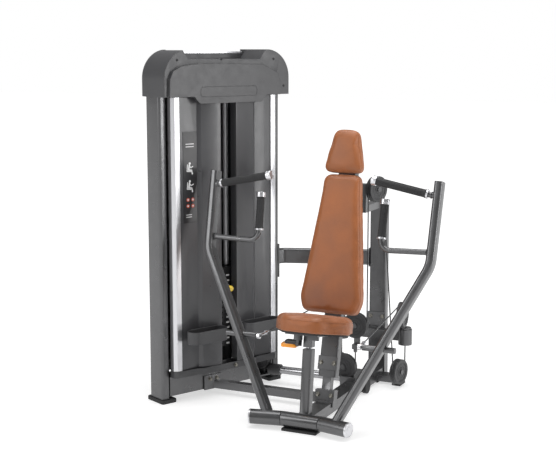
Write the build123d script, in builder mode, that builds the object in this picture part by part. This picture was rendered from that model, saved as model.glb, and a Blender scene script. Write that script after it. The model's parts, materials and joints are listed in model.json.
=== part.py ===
"""Converging chest press machine: a weight tower set at an angle beside a seat with two press arms.

Millimetres, +Z up. The user faces -Y and the tower stands on the user's right, at -X.
The origin is on the floor under the middle of the pivot tube.
"""

from build123d import *
from math import cos, radians, sin
import os

os.makedirs("parts", exist_ok=True)

# ---- driving dimensions -------------------------------------------------------------------
TOWER_TURN = 25.66          # angle of the tower's broad face from the seat's side
TOWER_CORNER = (-727.5, 82.5, 0.0)
TOWER_LENGTH = 683.0        # outside the two uprights
TOWER_HEIGHT = 1600.0
UPRIGHT_DEPTH = 105.0
UPRIGHT_WIDTH = 43.0
WALL = 3.0
FOOT_TOP = 18.0
CAP_BOTTOM = 1393.0
LIP_BOTTOM, LIP_TOP = 119.0, 151.0

PLATE_COUNT = 14            # weight plates under the head plate
LIFTED_COUNT = 3            # plates above the selector pin
PLATE_PITCH = 25.0
PLATE_GAP = 0.3
STACK_BOTTOM = 217.0
STACK_HALF_LENGTH = 190.0
ROD_SPACING = 60.0          # guide rod from the stack's middle
GUIDE_ROD_RADIUS = 12.5
STACK_X = -50.0             # stack's centre line, behind the tower's front face
RISE_X = -60.0              # the cable's way up inside the rear of the tower

PIVOT_HEIGHT = 45.0
PIVOT_RADIUS = 32.0
PIVOT_ANGLE = 12.0          # how far each arm's axis is swept forwards
PIVOT_HALF = 91.4           # half the straight centre tube
SHAFT_RADIUS = 24.0
BUSH_RADIUS = 27.0
HOUSING_LENGTH = 134.0
SEAM = 1.0

ARM_BASE = (161.0, 6.0, 64.0)
ARM_BEND = (510.0, 145.0, 727.0)
ARM_TOP = (518.0, 227.0, 1065.0)
ARM_SECTION = (36.0, 58.0)
ARM_BEND_RADIUS = 130.0
GRIP_INNER = (240.0, 199.0, 1061.0)
GRIP_OUTER = (512.0, 199.0, 1008.0)
LOW_BAR_OUTER = (507.0, 161.0, 781.0)
LOW_BAR_CORNER = (283.0, 170.0, 774.0)
VERTICAL_GRIP_TOP = (288.0, 209.0, 976.0)
GRIP_CORE_RADIUS = 12.0
GRIP_RADIUS = 17.0
GRIP_CAP_RADIUS = 20.5
LINK_ROD = ((390.0, 74.0, 375.0), (246.0, 74.0, 375.0))
LINK_PIN_END = (222.0, 74.0, 375.0)
LINK_RADIUS, LINK_PIN_RADIUS = 12.5, 6.0

BACK_LEAN = 14.0
PAD_FRONT = (0.0, 288.0, 459.0)     # bottom middle of the backrest's front face
PAD_THICKNESS = 52.0
PAD_GAP = 6.0                       # pad back to post front, filled by the backing plates
POST_SIZE = (84.0, 46.0)
POST_FOOT_Z, POST_LENGTH = 168.0, 1012.0
SEAT_FRONT = (0.0, -36.0, 430.0)
SEAT_TILT = 11.0
SEAT_THICKNESS = 70.0
COLUMN_LEAN = 6.5
COLUMN_FOOT = (0.0, 48.0, 60.0)
COLUMN_SIZE, COLUMN_LENGTH = 44.0, 282.0
COLUMN_BUSH = 70.0                  # guide bush let into the top of the seat column
SEAT_ROD_RADIUS = 11.5

SPINE_HALF, SPINE_LOW, SPINE_TOP = 37.0, 12.0, 60.0
REAR_FACE = 905.0                   # front face of the rear leg and post
REAR_DEPTH = 46.0
CROSS_FRONT, CROSS_BACK = 857.0, 902.0
CROSS_LOW, CROSS_TOP = 213.0, 258.0
SWIVEL_RADIUS, SWIVEL_LOW, SWIVEL_TOP = 33.0, 200.0, 276.0
CABLE_PLANE = 622.0                 # Y of the floating pulley and the stack cable
CABLE_HEIGHT = 68.0                 # of the run from the seat to the tower
CABLE_RADIUS = 3.0
PULLEY_RADIUS, PULLEY_WIDTH = 60.0, 32.0
SMALL_PULLEY_RADIUS, SMALL_PULLEY_WIDTH = 45.0, 24.0
GROOVE_DEPTH = 7.5
PITCH = PULLEY_RADIUS - 4.0         # centre of the cable round a large pulley
SMALL_PITCH = SMALL_PULLEY_RADIUS - 4.0
AXLE_RADIUS = 8.0
RUNNING = 0.05                      # radial clearance of running fits

# ---- frames -------------------------------------------------------------------------------
turn = radians(TOWER_TURN)
TOWER_OUT = Vector(cos(turn), -sin(turn), 0)     # out of the tower's front face
TOWER_ALONG = Vector(sin(turn), cos(turn), 0)    # from the front upright to the rear one
tower = Plane(origin=TOWER_CORNER, x_dir=TOWER_OUT, z_dir=(0, 0, 1))
tower_mid = TOWER_LENGTH / 2

lean = radians(BACK_LEAN)
PAD_NORMAL = Vector(0, -cos(lean), sin(lean))
pad_front = Plane(origin=PAD_FRONT, x_dir=(1, 0, 0), z_dir=PAD_NORMAL)
pad_back = pad_front.offset(-PAD_THICKNESS)
post_front = pad_back.offset(-PAD_GAP)

tilt = radians(SEAT_TILT)
seat_bottom = Plane(origin=SEAT_FRONT, x_dir=(1, 0, 0), z_dir=(0, sin(tilt), cos(tilt)))

column_tilt = radians(COLUMN_LEAN)
column = Plane(origin=COLUMN_FOOT, x_dir=(1, 0, 0), z_dir=(0, sin(column_tilt), cos(column_tilt)))

sweep_angle = radians(PIVOT_ANGLE)
pivot_root = Vector(PIVOT_HALF, 0, PIVOT_HEIGHT)
PIVOT_AXIS = Vector(cos(sweep_angle), -sin(sweep_angle), 0)

# Pulley centres and axles. Each axle points towards the wheel's open side.
floating_centre = Vector(0, CABLE_PLANE, 328)
turn_centre = Vector(-PITCH, CABLE_PLANE, CABLE_HEIGHT + PITCH)
FRONTWARDS = Vector(0, -1, 0)
top_sweep = radians(20)
TOP_AXIS = Vector(cos(top_sweep), -sin(top_sweep), 0)
TOP_RADIAL = Vector(sin(top_sweep), cos(top_sweep), 0)
top_centre = Vector(PITCH, CABLE_PLANE, 965) + TOP_RADIAL * PITCH
LOW_RADIAL = Vector(sin(sweep_angle), cos(sweep_angle), 0)
low_centre = Vector(152, 800, 78)
swivel = low_centre + LOW_RADIAL * PITCH
lead_run = Vector(swivel.X - LINK_PIN_END[0], swivel.Y - LINK_PIN_END[1], 0).normalized()
GUIDE_AXIS = Vector(lead_run.Y, -lead_run.X, 0)
guide_centre = Vector(swivel.X, swivel.Y, 358) - lead_run * PITCH

rise_along = (CABLE_PLANE - TOWER_CORNER[1] + sin(turn) * RISE_X) / cos(turn)
rise = tower.from_local_coords(Vector(RISE_X, rise_along, 0))
base_pulley_centre = Vector(rise.X + SMALL_PITCH, CABLE_PLANE, CABLE_HEIGHT + SMALL_PITCH)
HEAD_PULLEY_Z = 1490.0
head_rear = tower.from_local_coords(Vector(RISE_X, rise_along, HEAD_PULLEY_Z))
head_front = tower.from_local_coords(Vector(STACK_X, tower_mid, HEAD_PULLEY_Z))
head_run = (head_front - head_rear).normalized()
HEAD_AXIS = Vector(-head_run.Y, head_run.X, 0)
head_rear_centre = head_rear + head_run * SMALL_PITCH
head_front_centre = head_front - head_run * SMALL_PITCH


# ---- small builders, used inside a BuildPart ----------------------------------------------
def at(out, along, height):
    """A point given in the tower's axes: out of its front face, along it and up."""
    return tower.from_local_coords(Vector(out, along, height))


def block(low, high, base=Plane.XY, mode=Mode.ADD):
    """A box between two corners, given in the axes of the plane it is built on."""
    with BuildSketch(base.offset(low[2])) as section:
        with Locations(((low[0] + high[0]) / 2, (low[1] + high[1]) / 2)):
            Rectangle(high[0] - low[0], high[1] - low[1])
    extrude(section.sketch, amount=high[2] - low[2], mode=mode)


def rod(start, end, radius, mode=Mode.ADD):
    """A round bar from one point to another."""
    start, end = Vector(start), Vector(end)
    with BuildSketch(Plane(origin=start, z_dir=end - start)) as section:
        Circle(radius)
    extrude(section.sketch, amount=(end - start).length, mode=mode)


def sleeve(start, end, outer, inner):
    """A round tube from one point to another."""
    start, end = Vector(start), Vector(end)
    with BuildSketch(Plane(origin=start, z_dir=end - start)) as section:
        Circle(outer)
        Circle(inner, mode=Mode.SUBTRACT)
    extrude(section.sketch, amount=(end - start).length)


def rounded_tube(centre, size, radius, low, high, base):
    """An upright rectangular tube with rounded corners, on a plane."""
    with BuildSketch(base.offset(low)) as section:
        with Locations(centre):
            RectangleRounded(*size, radius)
            RectangleRounded(size[0] - 2 * WALL, size[1] - 2 * WALL, radius - WALL, mode=Mode.SUBTRACT)
    extrude(section.sketch, amount=high - low)


def wheel(centre, axis, radius, width):
    """A grooved pulley wheel with a bore for its axle."""
    half, groove = width / 2, radius - GROOVE_DEPTH
    across = axis.cross(Vector(0, 0, 1)) if abs(axis.Z) < 0.5 else Vector(1, 0, 0)
    section_plane = Plane(origin=centre, x_dir=across, z_dir=across.cross(axis))
    with BuildSketch(section_plane) as section:
        with BuildLine():
            Polyline(
                (AXLE_RADIUS + RUNNING, -half), (radius, -half), (radius, -6), (groove, -3),
                (groove, 3), (radius, 6), (radius, half), (AXLE_RADIUS + RUNNING, half), close=True,
            )
        make_face()
    revolve(section.sketch, axis=Axis(centre, axis))


def axle(centre, axis, width, back=12):
    """A pulley's axle, from behind the wheel to a head in front of it."""
    half = width / 2 + 0.5
    rod(centre - axis * (half + back), centre + axis * (half + 3), AXLE_RADIUS)
    rod(centre + axis * half, centre + axis * (half + 5), AXLE_RADIUS + 4)


def cheek(centre, axis, foot, width, breadth=36, thickness=8):
    """The plate behind a pulley, from its axle to a foot."""
    base = centre - axis * (width / 2 + 1 + thickness)
    foot = Vector(foot)
    foot = foot - axis * axis.dot(foot - base)
    run = foot - base
    with BuildSketch(Plane(origin=base, x_dir=run, z_dir=axis)) as section:
        Circle(breadth / 2)
        with Locations((run.length / 2, 0)):
            Rectangle(run.length, breadth)
    extrude(section.sketch, amount=thickness)


def save(builder, name):
    """Label a finished piece and write it."""
    builder.part.label = name
    export_step(builder.part, f"parts/{name}.step")


# ---- tower frame --------------------------------------------------------------------------
upright_x = -UPRIGHT_DEPTH / 2
inner_start, inner_end = UPRIGHT_WIDTH, TOWER_LENGTH - UPRIGHT_WIDTH
for name, middle in (("tower_front_upright", inner_start / 2),
                     ("tower_rear_upright", TOWER_LENGTH - inner_start / 2)):
    with BuildPart() as upright:
        rounded_tube((upright_x, middle), (UPRIGHT_DEPTH, UPRIGHT_WIDTH), 13, FOOT_TOP, 1440, tower)
    save(upright, name)

BEAM_TOP = 1436.0
rod_alongs = (tower_mid - ROD_SPACING, tower_mid + ROD_SPACING)
with BuildPart() as tower_cross_beams:
    block((-85, inner_start, 28), (-2, inner_end, LIP_BOTTOM), tower)
    block((-80, 528, 36), (0, inner_end - 6, LIP_BOTTOM), tower, Mode.SUBTRACT)
    block((-79, inner_start, 34), (-8, 520, 113), tower, Mode.SUBTRACT)
    for along in rod_alongs:
        rod(at(STACK_X, along, 34), at(STACK_X, along, 113), 16)
    block((-85, inner_start, 1400), (-15, inner_end, BEAM_TOP), tower)
    for out, along in ((STACK_X, tower_mid), (RISE_X, rise_along)):
        block((out - 9, along - 9, 1390), (out + 9, along + 9, BEAM_TOP + 1), tower, Mode.SUBTRACT)
    for along in rod_alongs:
        rod(at(STACK_X, along, 1395), at(STACK_X, along, BEAM_TOP + 1), GUIDE_ROD_RADIUS, Mode.SUBTRACT)
save(tower_cross_beams, "tower_cross_beams")

with BuildPart() as rubber_feet:
    for start, end in ((-8, 72), (TOWER_LENGTH - 72, TOWER_LENGTH + 8)):
        with BuildSketch(tower) as pad:
            with Locations((upright_x, (start + end) / 2)):
                RectangleRounded(UPRIGHT_DEPTH + 25, end - start, 12)
        extrude(pad.sketch, amount=FOOT_TOP)
    block((-80, -30, 0), (80, 70, SPINE_LOW))
    for side in (-1, 1):
        block((side * 134 - 22, 816, 0), (side * 134 + 22, 891, SPINE_LOW))
    block((-SPINE_HALF, 830, 0), (SPINE_HALF, 900, SPINE_LOW))
    rod((SPINE_HALF, 640, 34), (SPINE_HALF + 22, 640, 34), 33)
save(rubber_feet, "rubber_feet")

with BuildPart() as guide_rods:
    for along in rod_alongs:
        rod(at(STACK_X, along, LIP_BOTTOM), at(STACK_X, along, BEAM_TOP + 4), GUIDE_ROD_RADIUS)
save(guide_rods, "guide_rods")

with BuildPart() as stack_buffers:
    for along in rod_alongs:
        sleeve(at(STACK_X, along, LIP_BOTTOM), at(STACK_X, along, STACK_BOTTOM - 0.3), 24,
               GUIDE_ROD_RADIUS + 0.1)
save(stack_buffers, "stack_buffers")

PIN_RADIUS = 4.0
resting_count = PLATE_COUNT - LIFTED_COUNT
head_low = STACK_BOTTOM + PLATE_COUNT * PLATE_PITCH
head_high = head_low + PLATE_PITCH
pin_height = STACK_BOTTOM + (resting_count + 0.5) * PLATE_PITCH - PLATE_GAP / 2


def weight_plate(level):
    """One plate of the stack: a slab with holes for the rods and stem and a pin hole in front."""
    low = STACK_BOTTOM + level * PLATE_PITCH
    high = low + PLATE_PITCH - PLATE_GAP
    block((-98, tower_mid - STACK_HALF_LENGTH, low), (-2, tower_mid + STACK_HALF_LENGTH, high), tower)
    for along in (*rod_alongs, tower_mid):
        rod(at(STACK_X, along, low - 1), at(STACK_X, along, high + 1), 14, Mode.SUBTRACT)
    middle = (low + high) / 2
    rod(at(STACK_X, tower_mid, middle), at(0, tower_mid, middle), PIN_RADIUS + RUNNING, Mode.SUBTRACT)


with BuildPart() as weight_plates:
    for level in range(resting_count):
        weight_plate(level)
save(weight_plates, "weight_plates")

with BuildPart() as lifted_plates:
    for level in range(resting_count, PLATE_COUNT):
        weight_plate(level)
save(lifted_plates, "lifted_plates")

STEM_TOP = head_high + 40
with BuildPart() as head_plate:
    block((-98, tower_mid - STACK_HALF_LENGTH, head_low), (-2, tower_mid + STACK_HALF_LENGTH, head_high),
          tower)
    for along in rod_alongs:
        rod(at(STACK_X, along, head_high), at(STACK_X, along, head_high + 6), 18)
        rod(at(STACK_X, along, head_low - 1), at(STACK_X, along, head_high + 7), GUIDE_ROD_RADIUS + RUNNING,
            Mode.SUBTRACT)
    rod(at(STACK_X, tower_mid, STACK_BOTTOM + 30), at(STACK_X, tower_mid, head_low), 12)
    rod(at(STACK_X, tower_mid, head_high), at(STACK_X, tower_mid, STEM_TOP), 12)
    rod(at(STACK_X - 20, tower_mid, pin_height), at(0, tower_mid, pin_height), PIN_RADIUS + RUNNING,
        Mode.SUBTRACT)
save(head_plate, "head_plate")

with BuildPart() as selector_pin:
    rod(at(STACK_X - 6, tower_mid, pin_height), at(45, tower_mid, pin_height), PIN_RADIUS)
    rod(at(4, tower_mid, pin_height), at(46, tower_mid, pin_height), 8)
    rod(at(46, tower_mid, pin_height), at(74, tower_mid, pin_height), 14)
    fillet(selector_pin.faces().sort_by(Axis(tower.origin, TOWER_OUT))[-1].edges(), 8)
save(selector_pin, "selector_pin")

# ---- tower covers -------------------------------------------------------------------------
SHROUD_OUT, STEP_OUT, RIDGE_OUT = 37.0, 50.0, 56.0
SLOT_HALF = 43.5
COVER_TOP = CAP_BOTTOM - 2
slot_start = tower_mid - SLOT_HALF
tower_middle_plane = Plane(origin=at(0, tower_mid, 0), x_dir=TOWER_OUT, z_dir=TOWER_ALONG)

with BuildPart() as shroud_left:
    with BuildSketch(tower.offset(LIP_TOP)) as section:
        with BuildLine():
            Polyline(
                (8, 84), (SHROUD_OUT, 84), (SHROUD_OUT, 178), (STEP_OUT, 194), (RIDGE_OUT, slot_start - 6),
                (RIDGE_OUT, slot_start), (12, slot_start), (12, slot_start - WALL),
                (RIDGE_OUT - WALL, slot_start - WALL), (STEP_OUT - WALL, 196), (SHROUD_OUT - WALL, 180),
                (SHROUD_OUT - WALL, 87), (8, 87), close=True,
            )
        make_face()
    extrude(section.sketch, amount=COVER_TOP - LIP_TOP)
save(shroud_left, "shroud_left")

with BuildPart() as shroud_right:
    mirror(shroud_left.part, about=tower_middle_plane)
save(shroud_right, "shroud_right")

with BuildPart() as rear_shroud:
    with BuildSketch(tower.offset(LIP_BOTTOM)) as section:
        with BuildLine():
            Polyline(
                (-106, 46), (-111, 80), (-111, TOWER_LENGTH - 80), (-106, TOWER_LENGTH - 46),
                (-103, TOWER_LENGTH - 46), (-108, TOWER_LENGTH - 81), (-108, 81), (-103, 46), close=True,
            )
        make_face()
    extrude(section.sketch, amount=COVER_TOP - LIP_BOTTOM)
save(rear_shroud, "rear_shroud")


def lip_outline(inset, plane):
    """The lip's plan, moved inwards by an inset."""
    far = TOWER_LENGTH - 44 - inset
    with BuildSketch(plane) as section:
        with BuildLine():
            Polyline(
                (inset, 44 + inset), (33 - inset / 2, 44 + inset), (45 - inset, 58 + inset / 2),
                (47 - inset, 165), (59 - inset, 192), (59 - inset, TOWER_LENGTH - 192),
                (47 - inset, TOWER_LENGTH - 165), (45 - inset, far - 14 + inset / 2), (33 - inset / 2, far),
                (inset, far), close=True,
            )
        make_face()
    return section.sketch


with BuildPart() as base_lip:
    extrude(lip_outline(0, tower.offset(LIP_BOTTOM)), amount=LIP_TOP - LIP_BOTTOM)
    extrude(lip_outline(4, tower.offset(LIP_BOTTOM + 4)), amount=LIP_TOP - LIP_BOTTOM, mode=Mode.SUBTRACT)
    block((-1, 549, LIP_BOTTOM - 1), (29, 628, LIP_TOP + 1), tower, Mode.SUBTRACT)
save(base_lip, "base_lip")

# The cap's side view is drawn in the plane of the tower's length and height.
CAP_BACK, CAP_FRONT, CAP_END, CAP_SHOULDER = -115.0, 62.0, 8.0, 128.0
BULGE_DEPTH = 14.0
NOTCH = (122.0, 520.0)
NOTCH_FLOOR, NOTCH_BACK, BACK_WALL_TOP = 1556.0, -88.0, 1582.0


def side_plane(out):
    """The tower's length and height plane, a distance out from its front face."""
    return Plane(origin=at(out, 0, 0), x_dir=TOWER_ALONG, z_dir=TOWER_OUT)


with BuildPart() as top_cap:
    with BuildSketch(side_plane(CAP_BACK)) as outline:
        with Locations((tower_mid, (CAP_BOTTOM + TOWER_HEIGHT) / 2)):
            Rectangle(TOWER_LENGTH + 2 * CAP_END, TOWER_HEIGHT - CAP_BOTTOM)
        fillet(outline.vertices().group_by(Axis.Y)[-1], CAP_SHOULDER)
    extrude(outline.sketch, amount=CAP_FRONT - CAP_BACK)
    with BuildSketch(side_plane(CAP_BACK + 4)) as hollow:
        with Locations((tower_mid, (CAP_BOTTOM + NOTCH_FLOOR) / 2 - 5)):
            Rectangle(TOWER_LENGTH + 2 * CAP_END - 8, NOTCH_FLOOR - CAP_BOTTOM + 2)
        fillet(hollow.vertices().group_by(Axis.Y)[-1], 100)
    extrude(hollow.sketch, amount=CAP_FRONT - CAP_BACK - 8, mode=Mode.SUBTRACT)
    with BuildSketch(side_plane(NOTCH_BACK)) as notch:
        with BuildLine():
            Polyline((NOTCH[0], NOTCH_FLOOR), (NOTCH[1], NOTCH_FLOOR), (NOTCH[1] + 34, TOWER_HEIGHT + 1),
                     (NOTCH[0] - 34, TOWER_HEIGHT + 1), close=True)
        make_face()
    extrude(notch.sketch, amount=200, mode=Mode.SUBTRACT)
    block((CAP_BACK - 1, NOTCH[0] - 20, BACK_WALL_TOP), (NOTCH_BACK + 1, NOTCH[1] + 20, TOWER_HEIGHT + 1),
          tower, Mode.SUBTRACT)
    with BuildSketch(side_plane(CAP_FRONT)) as bulge:
        with BuildLine():
            Polyline((11, CAP_BOTTOM), (14, 1470), (30, 1505), (70, 1526), (170, 1538), (522, 1532),
                     (567, 1516), (620, 1488), (640, CAP_BOTTOM), (548, CAP_BOTTOM), (520, 1362),
                     (172, 1362), (143, CAP_BOTTOM), close=True)
        make_face()
        fillet(bulge.vertices(), 10)
    extrude(bulge.sketch, amount=BULGE_DEPTH)
save(top_cap, "top_cap")

with BuildPart() as trims:
    with BuildSketch(tower.offset(LIP_TOP)) as section:
        with BuildLine():
            Polyline((2, 45), (28, 45), (41, 58), (41, 83), (36, 83), (36, 60), (26, 50), (2, 50), close=True)
        make_face()
        fillet(section.vertices().group_by(Axis.X)[-1], 1)
    front_trim = extrude(section.sketch, amount=COVER_TOP - LIP_TOP)
    mirror(front_trim, about=tower_middle_plane)
    block((NOTCH_BACK - 22, NOTCH[0] - 14, BACK_WALL_TOP), (NOTCH_BACK - 6, NOTCH[1] + 14, BACK_WALL_TOP + 9),
          tower)
save(trims, "trims")

with BuildPart() as placard:
    block((SHROUD_OUT, 102, 828), (SHROUD_OUT + 2, 176, 1238), tower)
save(placard, "placard")

TRAY_OUT, TRAY_LENGTH, TRAY_LOW, TRAY_TOP, TRAY_WALL = 130.0, 205.0, 283.0, 341.0, 4.0
with BuildPart() as cup_trays:
    for middle in (187.5, TOWER_LENGTH - 187.5):
        for inset, low, mode in ((0, TRAY_LOW, Mode.ADD), (TRAY_WALL, TRAY_LOW + TRAY_WALL, Mode.SUBTRACT)):
            with BuildSketch(tower.offset(low)) as bowl:
                with Locations(((RIDGE_OUT + TRAY_OUT) / 2, middle)):
                    RectangleRounded(TRAY_OUT - RIDGE_OUT - 2 * inset, TRAY_LENGTH - 2 * inset, 36 - inset)
            extrude(bowl.sketch, amount=TRAY_TOP - TRAY_LOW, mode=mode)
save(cup_trays, "cup_trays")

# ---- links between tower and seat ---------------------------------------------------------
STRUT_MIDDLE = 600.0
tower_end = Plane(origin=at(0, TOWER_LENGTH, 0), x_dir=-TOWER_OUT, z_dir=TOWER_ALONG)
with BuildPart() as strut:
    elbow = at(-50, TOWER_LENGTH + 66, STRUT_MIDDLE)
    strut_start = at(-50, TOWER_LENGTH, STRUT_MIDDLE)
    with BuildLine() as strut_path:
        FilletPolyline(strut_start, elbow, (0, REAR_FACE + 23, STRUT_MIDDLE), radius=46)
    with BuildSketch(Plane(origin=strut_start, x_dir=(0, 0, 1), z_dir=TOWER_ALONG)) as section:
        RectangleRounded(73, 38, 9)
    sweep(section.sketch, path=strut_path.wires()[0])
    block((4, 506, 0), (100, 669, 8), tower_end)
    block((-POST_SIZE[0] / 2, REAR_FACE - 40, 500), (80, REAR_FACE + 90, 720), mode=Mode.SUBTRACT)
    block((-POST_SIZE[0] / 2 - 6, REAR_FACE + 2, 554), (-POST_SIZE[0] / 2, REAR_FACE + 44, 646))
save(strut, "strut")

LOW_PLATE = ((0, 230, 24), (7, 330, 92))
with BuildPart() as low_beam:
    block((-640, 335, 26), (-SPINE_HALF, 375, 62))
    block((-300, -100, 0), (0, 700, 200), tower, Mode.SUBTRACT)
    block(*LOW_PLATE, tower)
save(low_beam, "low_beam")

GUARD_START, GUARD_COLLAR, GUARD_END = -446.0, -385.0, -68.0
GUARD_RADIUS = 18.5
BRACKET_TOP = 82.0
with BuildPart() as cable_guard:
    sleeve((GUARD_START, CABLE_PLANE, CABLE_HEIGHT), (GUARD_END, CABLE_PLANE, CABLE_HEIGHT), GUARD_RADIUS, 14)
    sleeve((GUARD_START, CABLE_PLANE, CABLE_HEIGHT), (GUARD_COLLAR, CABLE_PLANE, CABLE_HEIGHT), 26,
           GUARD_RADIUS)
    slot_half = PULLEY_WIDTH / 2 + 1
    rod(turn_centre - FRONTWARDS * slot_half, turn_centre + FRONTWARDS * slot_half, PULLEY_RADIUS + 2,
        Mode.SUBTRACT)
save(cable_guard, "cable_guard")

# ---- seat frame ---------------------------------------------------------------------------
stub_foot = (SPINE_TOP - post_front.origin.Z) / cos(lean)
post_start = (POST_FOOT_Z - post_front.origin.Z) / cos(lean)
post_half, post_depth = POST_SIZE[0] / 2, POST_SIZE[1]
with BuildPart() as seat_base:
    rod((-PIVOT_HALF - 20, 0, PIVOT_HEIGHT), (PIVOT_HALF + 20, 0, PIVOT_HEIGHT), PIVOT_RADIUS)
    for side in (-1, 1):
        axis = Vector(side * PIVOT_AXIS.X, PIVOT_AXIS.Y, 0)
        root = Vector(side * PIVOT_HALF, 0, PIVOT_HEIGHT)
        rod(root - axis * SEAM, root + axis * 60, PIVOT_RADIUS + 30, Mode.SUBTRACT)
    for side in (-1, 1):
        axis = Vector(side * PIVOT_AXIS.X, PIVOT_AXIS.Y, 0)
        root = Vector(side * PIVOT_HALF, 0, PIVOT_HEIGHT)
        rod(root - axis * 20, root + axis * (HOUSING_LENGTH - 4), SHAFT_RADIUS)
    block((-post_half, stub_foot - 20, -post_depth), (post_half, stub_foot + 56, 0), post_front)
    block((-20, stub_foot, 6 - post_depth), (20, post_start, -6), post_front)
    block((-200, 150, 0), (200, 420, SPINE_LOW + 4), mode=Mode.SUBTRACT)
    block((-SPINE_HALF, 0, SPINE_LOW), (SPINE_HALF, REAR_FACE, SPINE_TOP))
    block((-128, 820, SPINE_LOW), (128, 890, 42))
    block((-post_half, REAR_FACE - 1, SPINE_LOW), (post_half, REAR_FACE + REAR_DEPTH, 268))
    block((-40, CROSS_BACK - 2, CROSS_LOW), (40, REAR_FACE + 2, CROSS_TOP))
    with BuildSketch(column) as tube:
        RectangleRounded(COLUMN_SIZE, COLUMN_SIZE, 7)
    extrude(tube.sketch, amount=COLUMN_LENGTH)
    with BuildSketch(column.offset(10)) as tube_bore:
        RectangleRounded(COLUMN_SIZE - 2 * WALL, COLUMN_SIZE - 2 * WALL, 4)
    extrude(tube_bore.sketch, amount=COLUMN_LENGTH - 10 - COLUMN_BUSH, mode=Mode.SUBTRACT)
    with BuildSketch(column.offset(10)) as bore:
        Circle(SEAT_ROD_RADIUS + RUNNING)
    extrude(bore.sketch, amount=COLUMN_LENGTH, mode=Mode.SUBTRACT)
    for side in (-1, 1):
        hub = Vector(side * low_centre.X, low_centre.Y, low_centre.Z)
        axis = Vector(side * PIVOT_AXIS.X, PIVOT_AXIS.Y, 0)
        cheek(hub, axis, (hub.X, hub.Y, SPINE_LOW), PULLEY_WIDTH)
save(seat_base, "seat_base")

with BuildPart() as main_post:
    block((-post_half, post_start, -post_depth), (post_half, post_start + POST_LENGTH, 0), post_front)
    fillet(main_post.edges().filter_by(Axis((0, 0, 0), (0, sin(lean), cos(lean)))), 8)
    block((WALL - post_half, post_start + 4, WALL - post_depth),
          (post_half - WALL, post_start + POST_LENGTH - WALL, -WALL), post_front, Mode.SUBTRACT)
    for low, high in ((60, 110), (470, 520), (690, 740)):
        block((-60, low, 0), (60, high, PAD_GAP), post_front)
save(main_post, "main_post")

ARM_LOW, ARM_TOP_FACE, RISER_FRONT = 850.0, 885.0, 680.0
with BuildPart() as rear_post:
    block((-post_half, REAR_FACE, 268), (post_half, REAR_FACE + REAR_DEPTH, ARM_TOP_FACE))
    fillet(rear_post.edges().filter_by(Axis.Z), 8)
    block((WALL - post_half, REAR_FACE + WALL, 272),
          (post_half - WALL, REAR_FACE + REAR_DEPTH - WALL, ARM_LOW - 4),
          mode=Mode.SUBTRACT)
    block((-22, RISER_FRONT, ARM_LOW), (22, REAR_FACE + 4, ARM_TOP_FACE))
    block((-22, RISER_FRONT, ARM_TOP_FACE), (22, RISER_FRONT + 30, 985))
save(rear_post, "rear_post")

with BuildPart() as rear_cross_beam:
    block((-150, CROSS_FRONT, CROSS_LOW), (150, CROSS_BACK - 2, CROSS_TOP))
    for side in (-1, 1):
        rod((side * swivel.X, swivel.Y, SWIVEL_LOW), (side * swivel.X, swivel.Y, SWIVEL_TOP), SWIVEL_RADIUS)
        rod((side * swivel.X, swivel.Y, SWIVEL_LOW - 1), (side * swivel.X, swivel.Y, SWIVEL_TOP + 1), 8,
            Mode.SUBTRACT)
save(rear_cross_beam, "rear_cross_beam")

with BuildPart() as joint_plates:
    block((-46, post_start + 30, 0), (46, post_start + 92, 5), post_front)
    block((-46, stub_foot + 8, 0), (46, stub_foot + 54, 5), post_front)
    block((-46, REAR_FACE - 8, 268), (46, REAR_FACE, 335))
save(joint_plates, "joint_plates")


def bolt(point, axis):
    """A hexagon head with a thin washer, standing on a face."""
    rod(point, point + axis * 2, 10)
    with BuildSketch(Plane(origin=point + axis * 2, z_dir=axis)) as head:
        RegularPolygon(8.5, 6)
    extrude(head.sketch, amount=7)


with BuildPart() as frame_bolts:
    for side in (-1, 1):
        for along in (post_start + 62, stub_foot + 31):
            bolt(post_front.from_local_coords(Vector(side * 31, along, 5)), PAD_NORMAL)
        bolt(Vector(side * 30, REAR_FACE - 8, 314), FRONTWARDS)
    for along in (262, 300):
        bolt(at(LOW_PLATE[1][0], along, 74), TOWER_OUT)
    bolt(at(RIDGE_OUT + 5, 372, 135), TOWER_OUT)
save(frame_bolts, "frame_bolts")

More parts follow.
